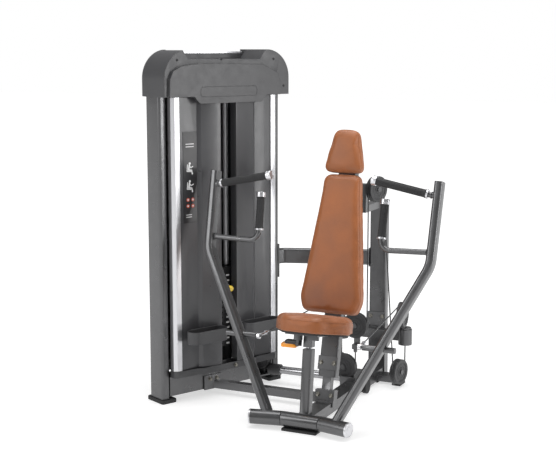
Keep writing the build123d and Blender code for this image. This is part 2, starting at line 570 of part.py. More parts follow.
# ---- pulley supports ----------------------------------------------------------------------
CLEAR = 0.5
with BuildPart() as pulley_brackets:
    for side in (-1, 1):
        hub = Vector(side * guide_centre.X, guide_centre.Y, guide_centre.Z)
        axis = Vector(side * GUIDE_AXIS.X, GUIDE_AXIS.Y, 0)
        foot = Vector(side * swivel.X, swivel.Y - 8, SWIVEL_TOP - 10)
        cheek(hub, axis, foot, PULLEY_WIDTH)
        block((foot.X - 60, foot.Y - 70, 200), (foot.X + 60, foot.Y + 70, SWIVEL_TOP), mode=Mode.SUBTRACT)
    for side in (-1, 1):
        rod((side * swivel.X, swivel.Y, SWIVEL_TOP), (side * swivel.X, swivel.Y, SWIVEL_TOP + 8), 28)
        rod((side * swivel.X, swivel.Y, SWIVEL_TOP - 1), (side * swivel.X, swivel.Y, SWIVEL_TOP + 9), 8,
            Mode.SUBTRACT)
        hub = Vector(side * guide_centre.X, guide_centre.Y, guide_centre.Z)
        axle(hub, Vector(side * GUIDE_AXIS.X, GUIDE_AXIS.Y, 0), PULLEY_WIDTH)
        hub = Vector(side * low_centre.X, low_centre.Y, low_centre.Z)
        axle(hub, Vector(side * PIVOT_AXIS.X, PIVOT_AXIS.Y, 0), PULLEY_WIDTH, CLEAR)
    for side in (-1, 1):
        hub = Vector(side * top_centre.X, top_centre.Y, top_centre.Z)
        axle(hub, Vector(side * TOP_AXIS.X, TOP_AXIS.Y, 0), PULLEY_WIDTH, 44)
    block((-23, RISER_FRONT - 1, 900), (23, RISER_FRONT + 31, 990), mode=Mode.SUBTRACT)
    axle(turn_centre, FRONTWARDS, PULLEY_WIDTH, 3)
    turn_back, turn_front = CABLE_PLANE + PULLEY_WIDTH / 2 + 3, CABLE_PLANE - PULLEY_WIDTH / 2 - 6
    block((-96, turn_back, SPINE_TOP), (-16, turn_back + 8, BRACKET_TOP))
    block((-80, turn_back, BRACKET_TOP), (-32, turn_back + 8, turn_centre.Z + 24))
    block((-68, turn_front - 8, SPINE_TOP), (10, turn_front, BRACKET_TOP))
    block((-68, turn_front - 8, SPINE_TOP - 4), (-SPINE_HALF, turn_back + 8, SPINE_TOP))
    block((-68, CABLE_PLANE - 24, 24), (-SPINE_HALF, CABLE_PLANE + 24, SPINE_TOP - 4))
    block((-96, turn_back, SPINE_TOP - 4), (-68, turn_back + 8, SPINE_TOP))
    axle(base_pulley_centre, FRONTWARDS, SMALL_PULLEY_WIDTH, CLEAR)
    cheek(base_pulley_centre, FRONTWARDS, Vector(base_pulley_centre.X, CABLE_PLANE, 36),
          SMALL_PULLEY_WIDTH, 30)
    for hub in (head_rear_centre, head_front_centre):
        axle(hub, HEAD_AXIS, SMALL_PULLEY_WIDTH, 10)
        cheek(hub, HEAD_AXIS, Vector(hub.X, hub.Y, BEAM_TOP), SMALL_PULLEY_WIDTH, 30)
save(pulley_brackets, "pulley_brackets")

# ---- pulleys ------------------------------------------------------------------------------
large, small = (PULLEY_RADIUS, PULLEY_WIDTH), (SMALL_PULLEY_RADIUS, SMALL_PULLEY_WIDTH)
wheels = {
    "floating_pulley": (floating_centre, FRONTWARDS, large),
    "turn_pulley": (turn_centre, FRONTWARDS, large),
    "base_pulley": (base_pulley_centre, FRONTWARDS, small),
    "head_pulley_rear": (head_rear_centre, HEAD_AXIS, small),
    "head_pulley_front": (head_front_centre, HEAD_AXIS, small),
}
for side_name, side in (("right", 1), ("left", -1)):
    for kind, centre, axis in (("top", top_centre, TOP_AXIS), ("low", low_centre, PIVOT_AXIS),
                               ("guide", guide_centre, GUIDE_AXIS)):
        wheels[f"{kind}_pulley_{side_name}"] = (
            Vector(side * centre.X, centre.Y, centre.Z), Vector(side * axis.X, axis.Y, 0), large)
for name, (centre, axis, size) in wheels.items():
    with BuildPart() as pulley:
        wheel(centre, axis, *size)
    save(pulley, name)

BLOCK_LOW, BLOCK_TOP, SWIVEL_END = 214.0, 236.0, 200.0
with BuildPart() as floating_bracket:
    axle(floating_centre, FRONTWARDS, PULLEY_WIDTH)
    cheek(floating_centre, FRONTWARDS, Vector(0, CABLE_PLANE, BLOCK_TOP - 4), PULLEY_WIDTH, 30)
    block((-14, CABLE_PLANE - 12, BLOCK_LOW), (14, CABLE_PLANE + PULLEY_WIDTH / 2 + 9, BLOCK_TOP))
    rod((0, CABLE_PLANE, SWIVEL_END), (0, CABLE_PLANE, BLOCK_LOW), 9)
save(floating_bracket, "floating_bracket")

# ---- cables -------------------------------------------------------------------------------
LEAD_GAP = 0.4              # a cable's moving run stops just short of its fixed one
BEND = PITCH - 0.5
EXIT = 72.0                 # a cable leaves a wheel in its plane before it veers to the next
SMALL_BEND = SMALL_PITCH - 0.5


def cable(points, radii):
    """A cable along straight runs joined by arcs the size of its pulleys."""
    with BuildLine() as route:
        FilletPolyline(*points, radius=radii)
    wire = route.wires()[0]
    with BuildSketch(Plane(origin=wire @ 0, z_dir=wire % 0)) as section:
        Circle(CABLE_RADIUS)
    sweep(section.sketch, path=wire)


cap_cable = HEAD_PULLEY_Z + SMALL_PITCH
low_front = low_centre - LOW_RADIAL * PITCH
top_rear = top_centre + TOP_RADIAL * PITCH
lead_end = Vector(swivel.X, swivel.Y, guide_centre.Z + PITCH) - lead_run * 120
with BuildPart() as fixed_cables:
    cable([(0, CABLE_PLANE, turn_centre.Z + 2), (0, CABLE_PLANE, CABLE_HEIGHT), (rise.X, CABLE_PLANE, CABLE_HEIGHT),
           at(RISE_X, rise_along, cap_cable), at(STACK_X, tower_mid, cap_cable),
           at(STACK_X, tower_mid, HEAD_PULLEY_Z - 2)], [BEND, SMALL_BEND, SMALL_BEND, SMALL_BEND])
    for side in (1, -1):
        cable([(side * lead_end.X, lead_end.Y, lead_end.Z),
               (side * swivel.X, swivel.Y, lead_end.Z),
               (side * swivel.X, swivel.Y, low_centre.Z - PITCH),
               (side * low_front.X, low_front.Y, low_centre.Z - PITCH),
               (side * low_front.X, low_front.Y, low_centre.Z + EXIT),
               (side * top_rear.X, top_rear.Y, top_centre.Z - EXIT),
               (side * top_rear.X, top_rear.Y, top_centre.Z + PITCH),
               (side * PITCH, CABLE_PLANE, top_centre.Z + PITCH),
               (side * PITCH, CABLE_PLANE, top_centre.Z)], [BEND, BEND, BEND, 300, 300, BEND, BEND])
save(fixed_cables, "fixed_cables")

with BuildPart() as upright_leads:
    rod(at(STACK_X, tower_mid, STEM_TOP), at(STACK_X, tower_mid, HEAD_PULLEY_Z - 2 - LEAD_GAP), CABLE_RADIUS)
    rod((0, CABLE_PLANE, turn_centre.Z + 2 + LEAD_GAP), (0, CABLE_PLANE, SWIVEL_END), CABLE_RADIUS)
    for side in (1, -1):
        rod((side * PITCH, CABLE_PLANE, top_centre.Z - LEAD_GAP), (side * PITCH, CABLE_PLANE, floating_centre.Z),
            CABLE_RADIUS)
save(upright_leads, "upright_leads")

CLEVIS_REACH = 78.0
clevis_eye = Vector((LINK_PIN_END[0] + LINK_ROD[1][0]) / 2, LINK_PIN_END[1], LINK_PIN_END[2])
lead_direction = (lead_end - clevis_eye).normalized()
for side_name, side in (("right", 1), ("left", -1)):
    with BuildPart() as arm_lead:
        start = clevis_eye + lead_direction * (CLEVIS_REACH + LEAD_GAP)
        stop = lead_end - lead_direction * 2 * LEAD_GAP
        rod((side * start.X, start.Y, start.Z), (side * stop.X, stop.Y, stop.Z), CABLE_RADIUS)
    save(arm_lead, f"arm_lead_{side_name}")

with BuildPart() as floating_cable:
    loop_low = floating_centre.Z - PITCH
    cable([(-PITCH, CABLE_PLANE, floating_centre.Z - LEAD_GAP), (-PITCH, CABLE_PLANE, loop_low),
           (PITCH, CABLE_PLANE, loop_low), (PITCH, CABLE_PLANE, floating_centre.Z - LEAD_GAP)], [BEND, BEND])
save(floating_cable, "floating_cable")

# ---- press arms ---------------------------------------------------------------------------
housing_start = pivot_root + PIVOT_AXIS * SEAM
housing_end = pivot_root + PIVOT_AXIS * HOUSING_LENGTH
arm_base, arm_bend, arm_top = Vector(ARM_BASE), Vector(ARM_BEND), Vector(ARM_TOP)
grip_outer, grip_inner = Vector(GRIP_OUTER), Vector(GRIP_INNER)
bar_outer, bar_corner, bar_top = Vector(LOW_BAR_OUTER), Vector(LOW_BAR_CORNER), Vector(VERTICAL_GRIP_TOP)
with BuildPart() as press_arm_right:
    rod(housing_start, housing_end, PIVOT_RADIUS)
    with BuildLine() as arm_path:
        FilletPolyline(arm_base, arm_bend, arm_top, radius=ARM_BEND_RADIUS)
    arm_run = (arm_bend - arm_base).normalized()
    arm_side = Vector(1, 0, 0) - arm_run * arm_run.X
    with BuildSketch(Plane(origin=arm_base, x_dir=arm_side, z_dir=arm_run)) as arm_section:
        RectangleRounded(*ARM_SECTION, 13)
    sweep(arm_section.sketch, path=arm_path.wires()[0])
    rod(*LINK_ROD, LINK_RADIUS)
    rod(LINK_ROD[1], LINK_PIN_END, LINK_PIN_RADIUS)
    rod(grip_outer, grip_inner, GRIP_CORE_RADIUS)
    with BuildLine() as bar_path:
        FilletPolyline(bar_outer, bar_corner, bar_top, radius=42)
    with BuildSketch(Plane(origin=bar_outer, z_dir=bar_corner - bar_outer)) as bar_section:
        Circle(GRIP_CORE_RADIUS)
    sweep(bar_section.sketch, path=bar_path.wires()[0])
    rod(pivot_root, housing_end + PIVOT_AXIS, BUSH_RADIUS, Mode.SUBTRACT)
save(press_arm_right, "press_arm_right")

grip_run = (grip_inner - grip_outer).normalized()
bar_rise = (bar_top - bar_corner).normalized()
grip_start = grip_outer + grip_run * 34
ring_start = bar_corner + bar_rise * 46
with BuildPart() as hand_grips_right:
    sleeve(grip_start + grip_run * 8, grip_inner - grip_run * 14, GRIP_RADIUS, GRIP_CORE_RADIUS)
    sleeve(ring_start + bar_rise * 8, bar_top - bar_rise * 14, GRIP_RADIUS, GRIP_CORE_RADIUS)
save(hand_grips_right, "hand_grips_right")

with BuildPart() as arm_caps_right:
    for tip, start, run in ((grip_inner, grip_start, grip_run), (bar_top, ring_start, bar_rise)):
        sleeve(tip - run * 14, tip, GRIP_CAP_RADIUS, GRIP_CORE_RADIUS)
        rod(tip, tip + run * 8, GRIP_CAP_RADIUS)
        sleeve(start, start + run * 8, GRIP_CAP_RADIUS - 1, GRIP_CORE_RADIUS)
    rod(housing_end, housing_end + PIVOT_AXIS * 8, PIVOT_RADIUS)
save(arm_caps_right, "arm_caps_right")

with BuildPart() as pivot_bushes:
    for side in (-1, 1):
        axis = Vector(side * PIVOT_AXIS.X, PIVOT_AXIS.Y, 0)
        root = Vector(side * PIVOT_HALF, 0, PIVOT_HEIGHT)
        for start, end in ((3, 43), (HOUSING_LENGTH - 46, HOUSING_LENGTH - 6)):
            sleeve(root + axis * start, root + axis * end, BUSH_RADIUS - RUNNING, SHAFT_RADIUS)
save(pivot_bushes, "pivot_bushes")

with BuildPart() as cable_clevis_right:
    rod(clevis_eye - Vector(7, 0, 0), clevis_eye + Vector(7, 0, 0), 13)
    rod(clevis_eye, clevis_eye + lead_direction * 40, 7)
    rod(clevis_eye + lead_direction * 38, clevis_eye + lead_direction * CLEVIS_REACH, 5)
    rod(clevis_eye + lead_direction * 44, clevis_eye + lead_direction * 60, 9)
    rod(clevis_eye - Vector(8, 0, 0), clevis_eye + Vector(8, 0, 0), LINK_PIN_RADIUS + RUNNING, Mode.SUBTRACT)
save(cable_clevis_right, "cable_clevis_right")

for right, name in ((press_arm_right, "press_arm_left"), (hand_grips_right, "hand_grips_left"),
                    (arm_caps_right, "arm_caps_left"), (cable_clevis_right, "cable_clevis_left")):
    with BuildPart() as left:
        mirror(right.part, about=Plane.YZ)
    save(left, name)

# ---- seat and pads ------------------------------------------------------------------------
backrest_outline = ((-128, -6), (128, -6), (148, 60), (120, 290),
                    (84, 616), (-84, 616), (-120, 290), (-148, 60))
headrest_outline = ((-88, 628), (88, 628), (50, 808), (-50, 808))
seat_outline = ((-84, 0), (84, 0), (178, 148), (142, 285), (-142, 285), (-178, 148))


def cushion(plane, outline, low_radius, high_radius, thickness, rim):
    """A pad's core: a rounded outline with a softened upper rim."""
    with BuildSketch(plane) as section:
        Polygon(*outline, align=None)
        fillet(section.vertices().group_by(Axis.Y)[0], low_radius)
        fillet(section.vertices().group_by(Axis.Y)[-1], high_radius)
    solid = extrude(section.sketch, amount=thickness)
    fillet(solid.faces().sort_by(Axis((0, 0, 0), plane.z_dir))[-1].edges(), rim)


with BuildPart() as backrest:
    cushion(pad_back, backrest_outline, 30, 36, PAD_THICKNESS, 12)
save(backrest, "backrest")

with BuildPart() as headrest:
    cushion(pad_back, headrest_outline, 20, 30, PAD_THICKNESS, 12)
save(headrest, "headrest")

with BuildPart() as seat_pad:
    cushion(seat_bottom, seat_outline, 26, 32, SEAT_THICKNESS, 14)
save(seat_pad, "seat_pad")

LEVER_ALONG, LEVER_DEPTH = 78.0, -46.0
with BuildPart() as seat_carriage:
    with BuildSketch(column.offset(24)) as rod_section:
        Circle(SEAT_ROD_RADIUS)
    extrude(rod_section.sketch, amount=COLUMN_LENGTH)
    with BuildSketch(column.offset(COLUMN_LENGTH + 9)) as head:
        RectangleRounded(40, 42, 5)
    extrude(head.sketch, amount=90)
    block((-300, -100, 0), (300, 400, 200), seat_bottom, Mode.SUBTRACT)
    block((18, 60, -24), (68, 74, -6), seat_bottom)
    block((-75, 36, -6), (75, 236, 0), seat_bottom)
    block((-44, 60, -30), (-18, 96, -6), seat_bottom)
    for along in (58, 90):
        block((-30, along, LEVER_DEPTH - 9), (-20, along + 8, -6), seat_bottom)
    rod(seat_bottom.from_local_coords(Vector(-30, 58, LEVER_DEPTH)),
        seat_bottom.from_local_coords(Vector(-30, 98, LEVER_DEPTH)), 4)
save(seat_carriage, "seat_carriage")

with BuildPart() as seat_lever:
    block((-106, 60, LEVER_DEPTH - 7), (-40, 96, LEVER_DEPTH + 5), seat_bottom)
    fillet(seat_lever.edges().filter_by(Axis((0, 0, 0), seat_bottom.z_dir)), 12)
    block((-44, 68, LEVER_DEPTH - 6), (-30, 88, LEVER_DEPTH + 4), seat_bottom)
    rod(seat_bottom.from_local_coords(Vector(-30, 66.5, LEVER_DEPTH)),
        seat_bottom.from_local_coords(Vector(-30, 89.5, LEVER_DEPTH)), 8)
    rod(seat_bottom.from_local_coords(Vector(-30, 60, LEVER_DEPTH)),
        seat_bottom.from_local_coords(Vector(-30, 96, LEVER_DEPTH)), 4 + RUNNING, Mode.SUBTRACT)
save(seat_lever, "seat_lever")
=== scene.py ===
"""Looks of the chest press machine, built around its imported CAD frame. Metres, +Z up, tower at -X."""

import json
import math

import bmesh
import bpy
import numpy as np
from mathutils import Matrix, Vector
from mathutils.bvhtree import BVHTree

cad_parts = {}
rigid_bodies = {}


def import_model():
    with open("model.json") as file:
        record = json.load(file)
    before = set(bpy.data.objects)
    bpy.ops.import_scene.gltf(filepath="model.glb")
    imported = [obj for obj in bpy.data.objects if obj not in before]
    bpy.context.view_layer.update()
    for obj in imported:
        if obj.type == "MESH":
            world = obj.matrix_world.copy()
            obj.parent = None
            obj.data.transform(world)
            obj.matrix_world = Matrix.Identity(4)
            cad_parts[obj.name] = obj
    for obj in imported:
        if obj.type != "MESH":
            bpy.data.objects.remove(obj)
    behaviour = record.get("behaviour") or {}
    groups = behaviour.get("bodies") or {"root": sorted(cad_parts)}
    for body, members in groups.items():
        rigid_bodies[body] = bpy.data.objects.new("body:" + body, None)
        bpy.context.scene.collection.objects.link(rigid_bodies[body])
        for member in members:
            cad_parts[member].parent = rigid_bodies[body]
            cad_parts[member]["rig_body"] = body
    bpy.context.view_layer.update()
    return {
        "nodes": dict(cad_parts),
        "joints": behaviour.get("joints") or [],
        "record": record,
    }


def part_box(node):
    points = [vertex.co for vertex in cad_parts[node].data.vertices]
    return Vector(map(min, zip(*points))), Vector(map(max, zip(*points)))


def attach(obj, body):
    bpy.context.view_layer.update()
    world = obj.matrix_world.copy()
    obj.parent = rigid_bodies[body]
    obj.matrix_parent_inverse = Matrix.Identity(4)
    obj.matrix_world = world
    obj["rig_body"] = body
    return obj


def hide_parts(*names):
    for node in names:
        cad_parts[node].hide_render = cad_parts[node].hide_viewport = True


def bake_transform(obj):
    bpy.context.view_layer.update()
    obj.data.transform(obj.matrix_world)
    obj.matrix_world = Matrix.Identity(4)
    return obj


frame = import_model()
NODES = frame["nodes"]
MM = 0.001


# ---- frames the CAD part uses ----------------------------------------------------------------
TURN = math.radians(25.66)
OUT = Vector((math.cos(TURN), -math.sin(TURN), 0))
ALONG = Vector((math.sin(TURN), math.cos(TURN), 0))
UP = Vector((0, 0, 1))
CORNER = Vector((-0.7275, 0.0825, 0))
MIDDLE = 341.5  # half the tower's length, mm


def at(out, along, height):
    """A point in the tower's axes, in millimetres."""
    return CORNER + OUT * (out * MM) + ALONG * (along * MM) + UP * (height * MM)


def axes(x, y, z, origin):
    """The matrix of a local frame."""
    m = Matrix((x, y, z)).transposed().to_4x4()
    m.translation = origin
    return m


LEAN, TILT = math.radians(14), math.radians(11)
PAD_NORMAL = Vector((0, -math.cos(LEAN), math.sin(LEAN)))
PAD_UP = Vector((0, math.sin(LEAN), math.cos(LEAN)))
PAD_T = 52 * MM
pad_front = axes(Vector((1, 0, 0)), PAD_UP, PAD_NORMAL, Vector((0, 0.288, 0.459)))
pad_back = pad_front @ Matrix.Translation((0, 0, -PAD_T))
post_front = pad_front @ Matrix.Translation((0, 0, -PAD_T - 6 * MM))
seat_frame = axes(Vector((1, 0, 0)), Vector((0, math.cos(TILT), -math.sin(TILT))),
                  Vector((0, math.sin(TILT), math.cos(TILT))), Vector((0, -0.036, 0.430)))


# ---- materials ------------------------------------------------------------------------------
def shade(name, colour, rough, metal=0.0, coat=0.0):
    """A new Principled material and its node tree, with object coordinates."""
    m = bpy.data.materials.new(name)
    m.use_nodes = True
    tree = m.node_tree
    shader = tree.nodes["Principled BSDF"]
    shader.inputs["Base Color"].default_value = (*colour, 1)
    shader.inputs["Roughness"].default_value = rough
    shader.inputs["Metallic"].default_value = metal
    shader.inputs["Coat Weight"].default_value = coat
    shader.inputs["Specular IOR Level"].default_value = 0.5
    place = tree.nodes.new("ShaderNodeTexCoord")
    return m, tree, shader, place.outputs["Object"]


def stretch(tree, coords, scale):
    """Coordinates scaled by a vector, for brushed or drawn patterns."""
    node = tree.nodes.new("ShaderNodeMapping")
    node.inputs["Scale"].default_value = scale
    tree.links.new(coords, node.inputs["Vector"])
    return node.outputs["Vector"]


def noise(tree, coords, scale, detail=3.0, rough=0.5):
    """Cloudy noise, from 0 to 1."""
    node = tree.nodes.new("ShaderNodeTexNoise")
    node.inputs["Scale"].default_value = scale
    node.inputs["Detail"].default_value = detail
    node.inputs["Roughness"].default_value = rough
    tree.links.new(coords, node.inputs["Vector"])
    return node.outputs["Fac"]


def cells(tree, coords, scale, feature="F1"):
    """Distance to the nearest cell point, for pebbles and diamonds."""
    node = tree.nodes.new("ShaderNodeTexVoronoi")
    node.feature = feature
    node.inputs["Scale"].default_value = scale
    tree.links.new(coords, node.inputs["Vector"])
    return node.outputs["Distance"]


def ramp(tree, value, stops):
    """A colour ramp from (position, colour) stops."""
    node = tree.nodes.new("ShaderNodeValToRGB")
    ends = node.color_ramp.elements
    while len(ends) < len(stops):
        ends.new(0.5)
    for end, (position, colour) in zip(ends, stops):
        end.position = position
        end.color = (*colour, 1)
    tree.links.new(value, node.inputs["Fac"])
    return node.outputs["Color"]


def levels(tree, value, low, high):
    """Noise's usual span stretched from low to high."""
    node = tree.nodes.new("ShaderNodeMapRange")
    node.inputs["From Min"].default_value = 0.25
    node.inputs["From Max"].default_value = 0.75
    node.inputs["To Min"].default_value = low
    node.inputs["To Max"].default_value = high
    tree.links.new(value, node.inputs["Value"])
    return node.outputs["Result"]


def total(tree, first, second, share):
    """first plus a share of second."""
    node = tree.nodes.new("ShaderNodeMath")
    node.operation = "MULTIPLY_ADD"
    node.inputs[1].default_value = share
    tree.links.new(second, node.inputs[0])
    tree.links.new(first, node.inputs[2])
    return node.outputs[0]


def bump(tree, shader, height, distance, strength=1.0, edge=0.0):
    """Fine relief, over edges that the shader rounds by a radius."""
    node = tree.nodes.new("ShaderNodeBump")
    node.inputs["Strength"].default_value = strength
    node.inputs["Distance"].default_value = distance
    tree.links.new(height, node.inputs["Height"])
    if edge:
        rounded = tree.nodes.new("ShaderNodeBevel")
        rounded.samples = 4
        rounded.inputs["Radius"].default_value = edge
        tree.links.new(rounded.outputs["Normal"], node.inputs["Normal"])
    tree.links.new(node.outputs["Normal"], shader.inputs["Normal"])


def tint(colour, factor):
    """A lighter or darker colour."""
    return tuple(min(1.0, c * factor) for c in colour)


def coated(name, colour, rough, metal, grain, depth, coat=0.0, spread=0.12, edge=1.5 * MM):
    """Paint, plastic or casting: cloudy colour, uneven gloss and a fine surface grain."""
    m, tree, shader, where = shade(name, colour, rough, metal, coat)
    cloud = noise(tree, where, 6, 4)
    fine = noise(tree, where, grain, 2, 0.6)
    mixed = total(tree, cloud, fine, 0.1)
    colours = ramp(tree, mixed, [(0.35, tint(colour, 1 - spread)), (0.85, tint(colour, 1 + spread))])
    tree.links.new(colours, shader.inputs["Base Color"])
    gloss = levels(tree, noise(tree, where, 28, 5), rough - 0.05, rough + 0.06)
    tree.links.new(gloss, shader.inputs["Roughness"])
    bump(tree, shader, fine, depth, 0.6, edge)
    return m


def brushed(name, colour, rough, scale, depth):
    """Drawn or brushed metal with long fine lines."""
    m, tree, shader, where = shade(name, colour, rough, 1.0)
    lines = noise(tree, stretch(tree, where, scale), 1.0, 4, 0.7)
    colours = ramp(tree, lines, [(0.3, tint(colour, 0.86)), (0.7, tint(colour, 1.12))])
    tree.links.new(colours, shader.inputs["Base Color"])
    tree.links.new(levels(tree, lines, rough - 0.07, rough + 0.09), shader.inputs["Roughness"])
    bump(tree, shader, lines, depth, 0.5, 0.8 * MM)
    return m


def hide(name, colour):
    """Upholstery leather: pebbled grain, soft creases, worn lighter patches and a low sheen."""
    m, tree, shader, where = shade(name, colour, 0.46)
    shader.inputs["Sheen Weight"].default_value = 0.12
    shader.inputs["Sheen Roughness"].default_value = 0.5
    warped = tree.nodes.new("ShaderNodeMixRGB")
    warped.blend_type = "LINEAR_LIGHT"
    warped.inputs["Fac"].default_value = 0.012
    tree.links.new(where, warped.inputs["Color1"])
    twist = tree.nodes.new("ShaderNodeTexNoise")
    twist.inputs["Scale"].default_value = 90
    tree.links.new(where, twist.inputs["Vector"])
    tree.links.new(twist.outputs["Color"], warped.inputs["Color2"])
    pebble = cells(tree, warped.outputs["Color"], 420, "SMOOTH_F1")
    pores = noise(tree, where, 900, 2)
    creases = noise(tree, stretch(tree, where, (14, 14, 34)), 1.0, 5, 0.6)
    relief = total(tree, total(tree, pebble, pores, 0.35), creases, 0.9)
    patches = noise(tree, where, 9, 4)
    tone = total(tree, patches, pebble, 0.22)
    colours = ramp(tree, tone, [(0.3, tint(colour, 0.80)), (0.55, colour), (0.85, tint(colour, 1.22))])
    tree.links.new(colours, shader.inputs["Base Color"])
    tree.links.new(levels(tree, patches, 0.40, 0.54), shader.inputs["Roughness"])
    bump(tree, shader, relief, 0.45 * MM, 0.55)
    return m


def knurled(name, colour):
    """Grip rubber with a fine diamond texture."""
    m, tree, shader, where = shade(name, colour, 0.72)
    diamonds = cells(tree, where, 520)
    soft = noise(tree, where, 40, 4)
    colours = ramp(tree, soft, [(0.3, tint(colour, 0.75)), (0.8, tint(colour, 1.5))])
    tree.links.new(colours, shader.inputs["Base Color"])
    tree.links.new(levels(tree, soft, 0.62, 0.82), shader.inputs["Roughness"])
    bump(tree, shader, diamonds, 0.4 * MM, 0.8, 0.8 * MM)
    return m


LOOK_SETTINGS = {
    "frame_paint": (coated, (0.120, 0.120, 0.123), 0.30, 0.80, 1300, 0.008 * MM, 0.15, 0.08),
    "cover_plastic": (coated, (0.050, 0.050, 0.053), 0.38, 0.0, 1700, 0.05 * MM, 0.0, 0.08, 2.5 * MM),
    "shroud_plastic": (coated, (0.058, 0.058, 0.062), 0.32, 0.0, 220, 0.002 * MM, 0.12, 0.05, 0.0),
    "satin_aluminium": (brushed, (0.66, 0.66, 0.68), 0.32, (900, 900, 18), 0.02 * MM),
    "pad_leather": (hide, (0.300, 0.094, 0.026)),
    "black_rubber": (knurled, (0.018, 0.018, 0.019)),
    "chrome_steel": (brushed, (0.78, 0.78, 0.80), 0.20, (60, 60, 240), 0.005 * MM),
    "bright_steel": (brushed, (0.55, 0.55, 0.56), 0.28, (300, 60, 300), 0.01 * MM),
    "cable_jacket": (coated, (0.030, 0.030, 0.032), 0.38, 0.0, 500, 0.05 * MM, 0.2, 0.2, 0.3 * MM),
    "pulley_plastic": (coated, (0.040, 0.040, 0.042), 0.48, 0.0, 700, 0.08 * MM, 0.0, 0.15, 0.8 * MM),
    "stack_iron": (coated, (0.022, 0.022, 0.024), 0.45, 0.3, 380, 0.12 * MM, 0.2, 0.25, 1.2 * MM),
    "knob_yellow": (coated, (0.86, 0.60, 0.04), 0.30, 0.0, 600, 0.02 * MM, 0.5, 0.05),
    "lever_orange": (coated, (0.90, 0.33, 0.015), 0.32, 0.0, 600, 0.03 * MM, 0.4, 0.06, 1.2 * MM),
    "bolt_steel": (brushed, (0.24, 0.23, 0.205), 0.34, (500, 500, 500), 0.02 * MM),
    "placard_print": (coated, (0.022, 0.022, 0.024), 0.42, 0.0, 500, 0.01 * MM, 0.1, 0.05, 0.3 * MM),
    "rod_steel": (coated, (0.62, 0.62, 0.64), 0.38, 0.55, 200, 0.002 * MM, 0.0, 0.05, 0.5 * MM),
    "guide_steel": (coated, (0.33, 0.33, 0.34), 0.22, 1.0, 500, 0.004 * MM, 0.0, 0.06, 0.5 * MM),
    "bush_nylon": (coated, (0.62, 0.61, 0.56), 0.5, 0.0, 300, 0.03 * MM),
    "print_white": (coated, (0.78, 0.78, 0.78), 0.5, 0.0, 1500, 0.01 * MM, 0.0, 0.03, 0.1 * MM),
    "print_red": (coated, (0.55, 0.10, 0.06), 0.5, 0.0, 1500, 0.01 * MM, 0.0, 0.05, 0.1 * MM),
    "dark_sleeve": (coated, (0.030, 0.030, 0.032), 0.42, 0.0, 900, 0.05 * MM, 0.0, 0.1, 1 * MM),
    "board_black": (coated, (0.020, 0.020, 0.021), 0.6, 0.0, 900, 0.1 * MM, 0.0, 0.2, 1 * MM),
    "thread": (coated, (0.46, 0.20, 0.09), 0.7, 0.0, 3000, 0.05 * MM, 0.0, 0.2, 0.0),
}
LOOKS = {name: make(name, *settings) for name, (make, *settings) in LOOK_SETTINGS.items()}
NODE_SLOT = {entry["node"]: entry["material_slot"] for entry in frame["record"]["subparts"]}


def finish(obj, body, look, *replaced, slot=None):
    """Gives a piece its material and body, and hides the CAD nodes it stands for; slot is not used."""
    obj.data.materials.clear()
    obj.data.materials.append(LOOKS[look])
    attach(obj, body)
    if replaced:
        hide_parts(*replaced)
    return obj


# ---- mesh building --------------------------------------------------------------------------
def piece(name, bm, smooth=True, angle=35):
    """A mesh object from a bmesh."""
    bmesh.ops.recalc_face_normals(bm, faces=bm.faces)
    mesh = bpy.data.meshes.new(name)
    bm.to_mesh(mesh)
    bm.free()
    obj = bpy.data.objects.new(name, mesh)
    bpy.context.scene.collection.objects.link(obj)
    if smooth:
        mesh.shade_smooth()
        mesh.set_sharp_from_angle(angle=math.radians(angle))
    return obj


def applied(obj):
    """The object with its modifiers made final."""
    graph = bpy.context.evaluated_depsgraph_get()
    final = bpy.data.meshes.new_from_object(obj.evaluated_get(graph))
    obj.modifiers.clear()
    obj.data = final
    return obj


def along_axis(origin, direction):
    """A frame at origin whose Z runs along a direction."""
    z = direction.normalized()
    side = UP if abs(z.z) < 0.9 else Vector((1, 0, 0))
    x = side.cross(z).normalized()
    return axes(x, z.cross(x), z, origin)


def polar(radius, turn, height=0.0):
    """A point on a circle about Z, from millimetres to metres."""
    return Vector((radius * MM * math.cos(turn), radius * MM * math.sin(turn), height * MM))


def lathe(bm, profile, matrix, count=56):
    """Turns (radius, height) points, in millimetres, about the frame's Z."""
    rings = []
    for k in range(count):
        turn = 2 * math.pi * k / count
        rings.append([bm.verts.new(matrix @ polar(r, turn, h)) for r, h in profile])
    for k in range(count):
        a, b = rings[k], rings[(k + 1) % count]
        for i in range(len(profile) - 1):
            bm.faces.new((a[i], b[i], b[i + 1], a[i + 1]))
    for i in (0, len(profile) - 1):
        if profile[i][0] > 0.01:
            continue
        bmesh.ops.remove_doubles(bm, verts=[ring[i] for ring in rings], dist=1e-6)


def turned(bm, profile, matrix, count=56):
    """A closed turned form: the profile's last point joins its first."""
    lathe(bm, [*profile, profile[0]], matrix, count)
    bmesh.ops.remove_doubles(bm, verts=bm.verts, dist=1e-7)


def hexagon(bm, matrix, radius, height):
    """A chamfered hexagon bolt head on a washer, in millimetres."""
    washer = 2.0
    disc = [(0, 0), (radius * 1.22, 0), (radius * 1.22, 1.5), (radius * 1.12, washer), (0, washer)]
    lathe(bm, disc, matrix, 32)
    layers = ((radius, washer), (radius, washer + height * 0.8), (radius * 0.86, washer + height),
              (radius * 0.5, washer + height * 0.94))
    rings = []
    for r, h in layers:
        rings.append([bm.verts.new(matrix @ polar(r, math.pi * k / 3, h)) for k in range(6)])
    for low, high in zip(rings, rings[1:]):
        for k in range(6):
            bm.faces.new((low[k], low[(k + 1) % 6], high[(k + 1) % 6], high[k]))
    bm.faces.new(rings[-1])


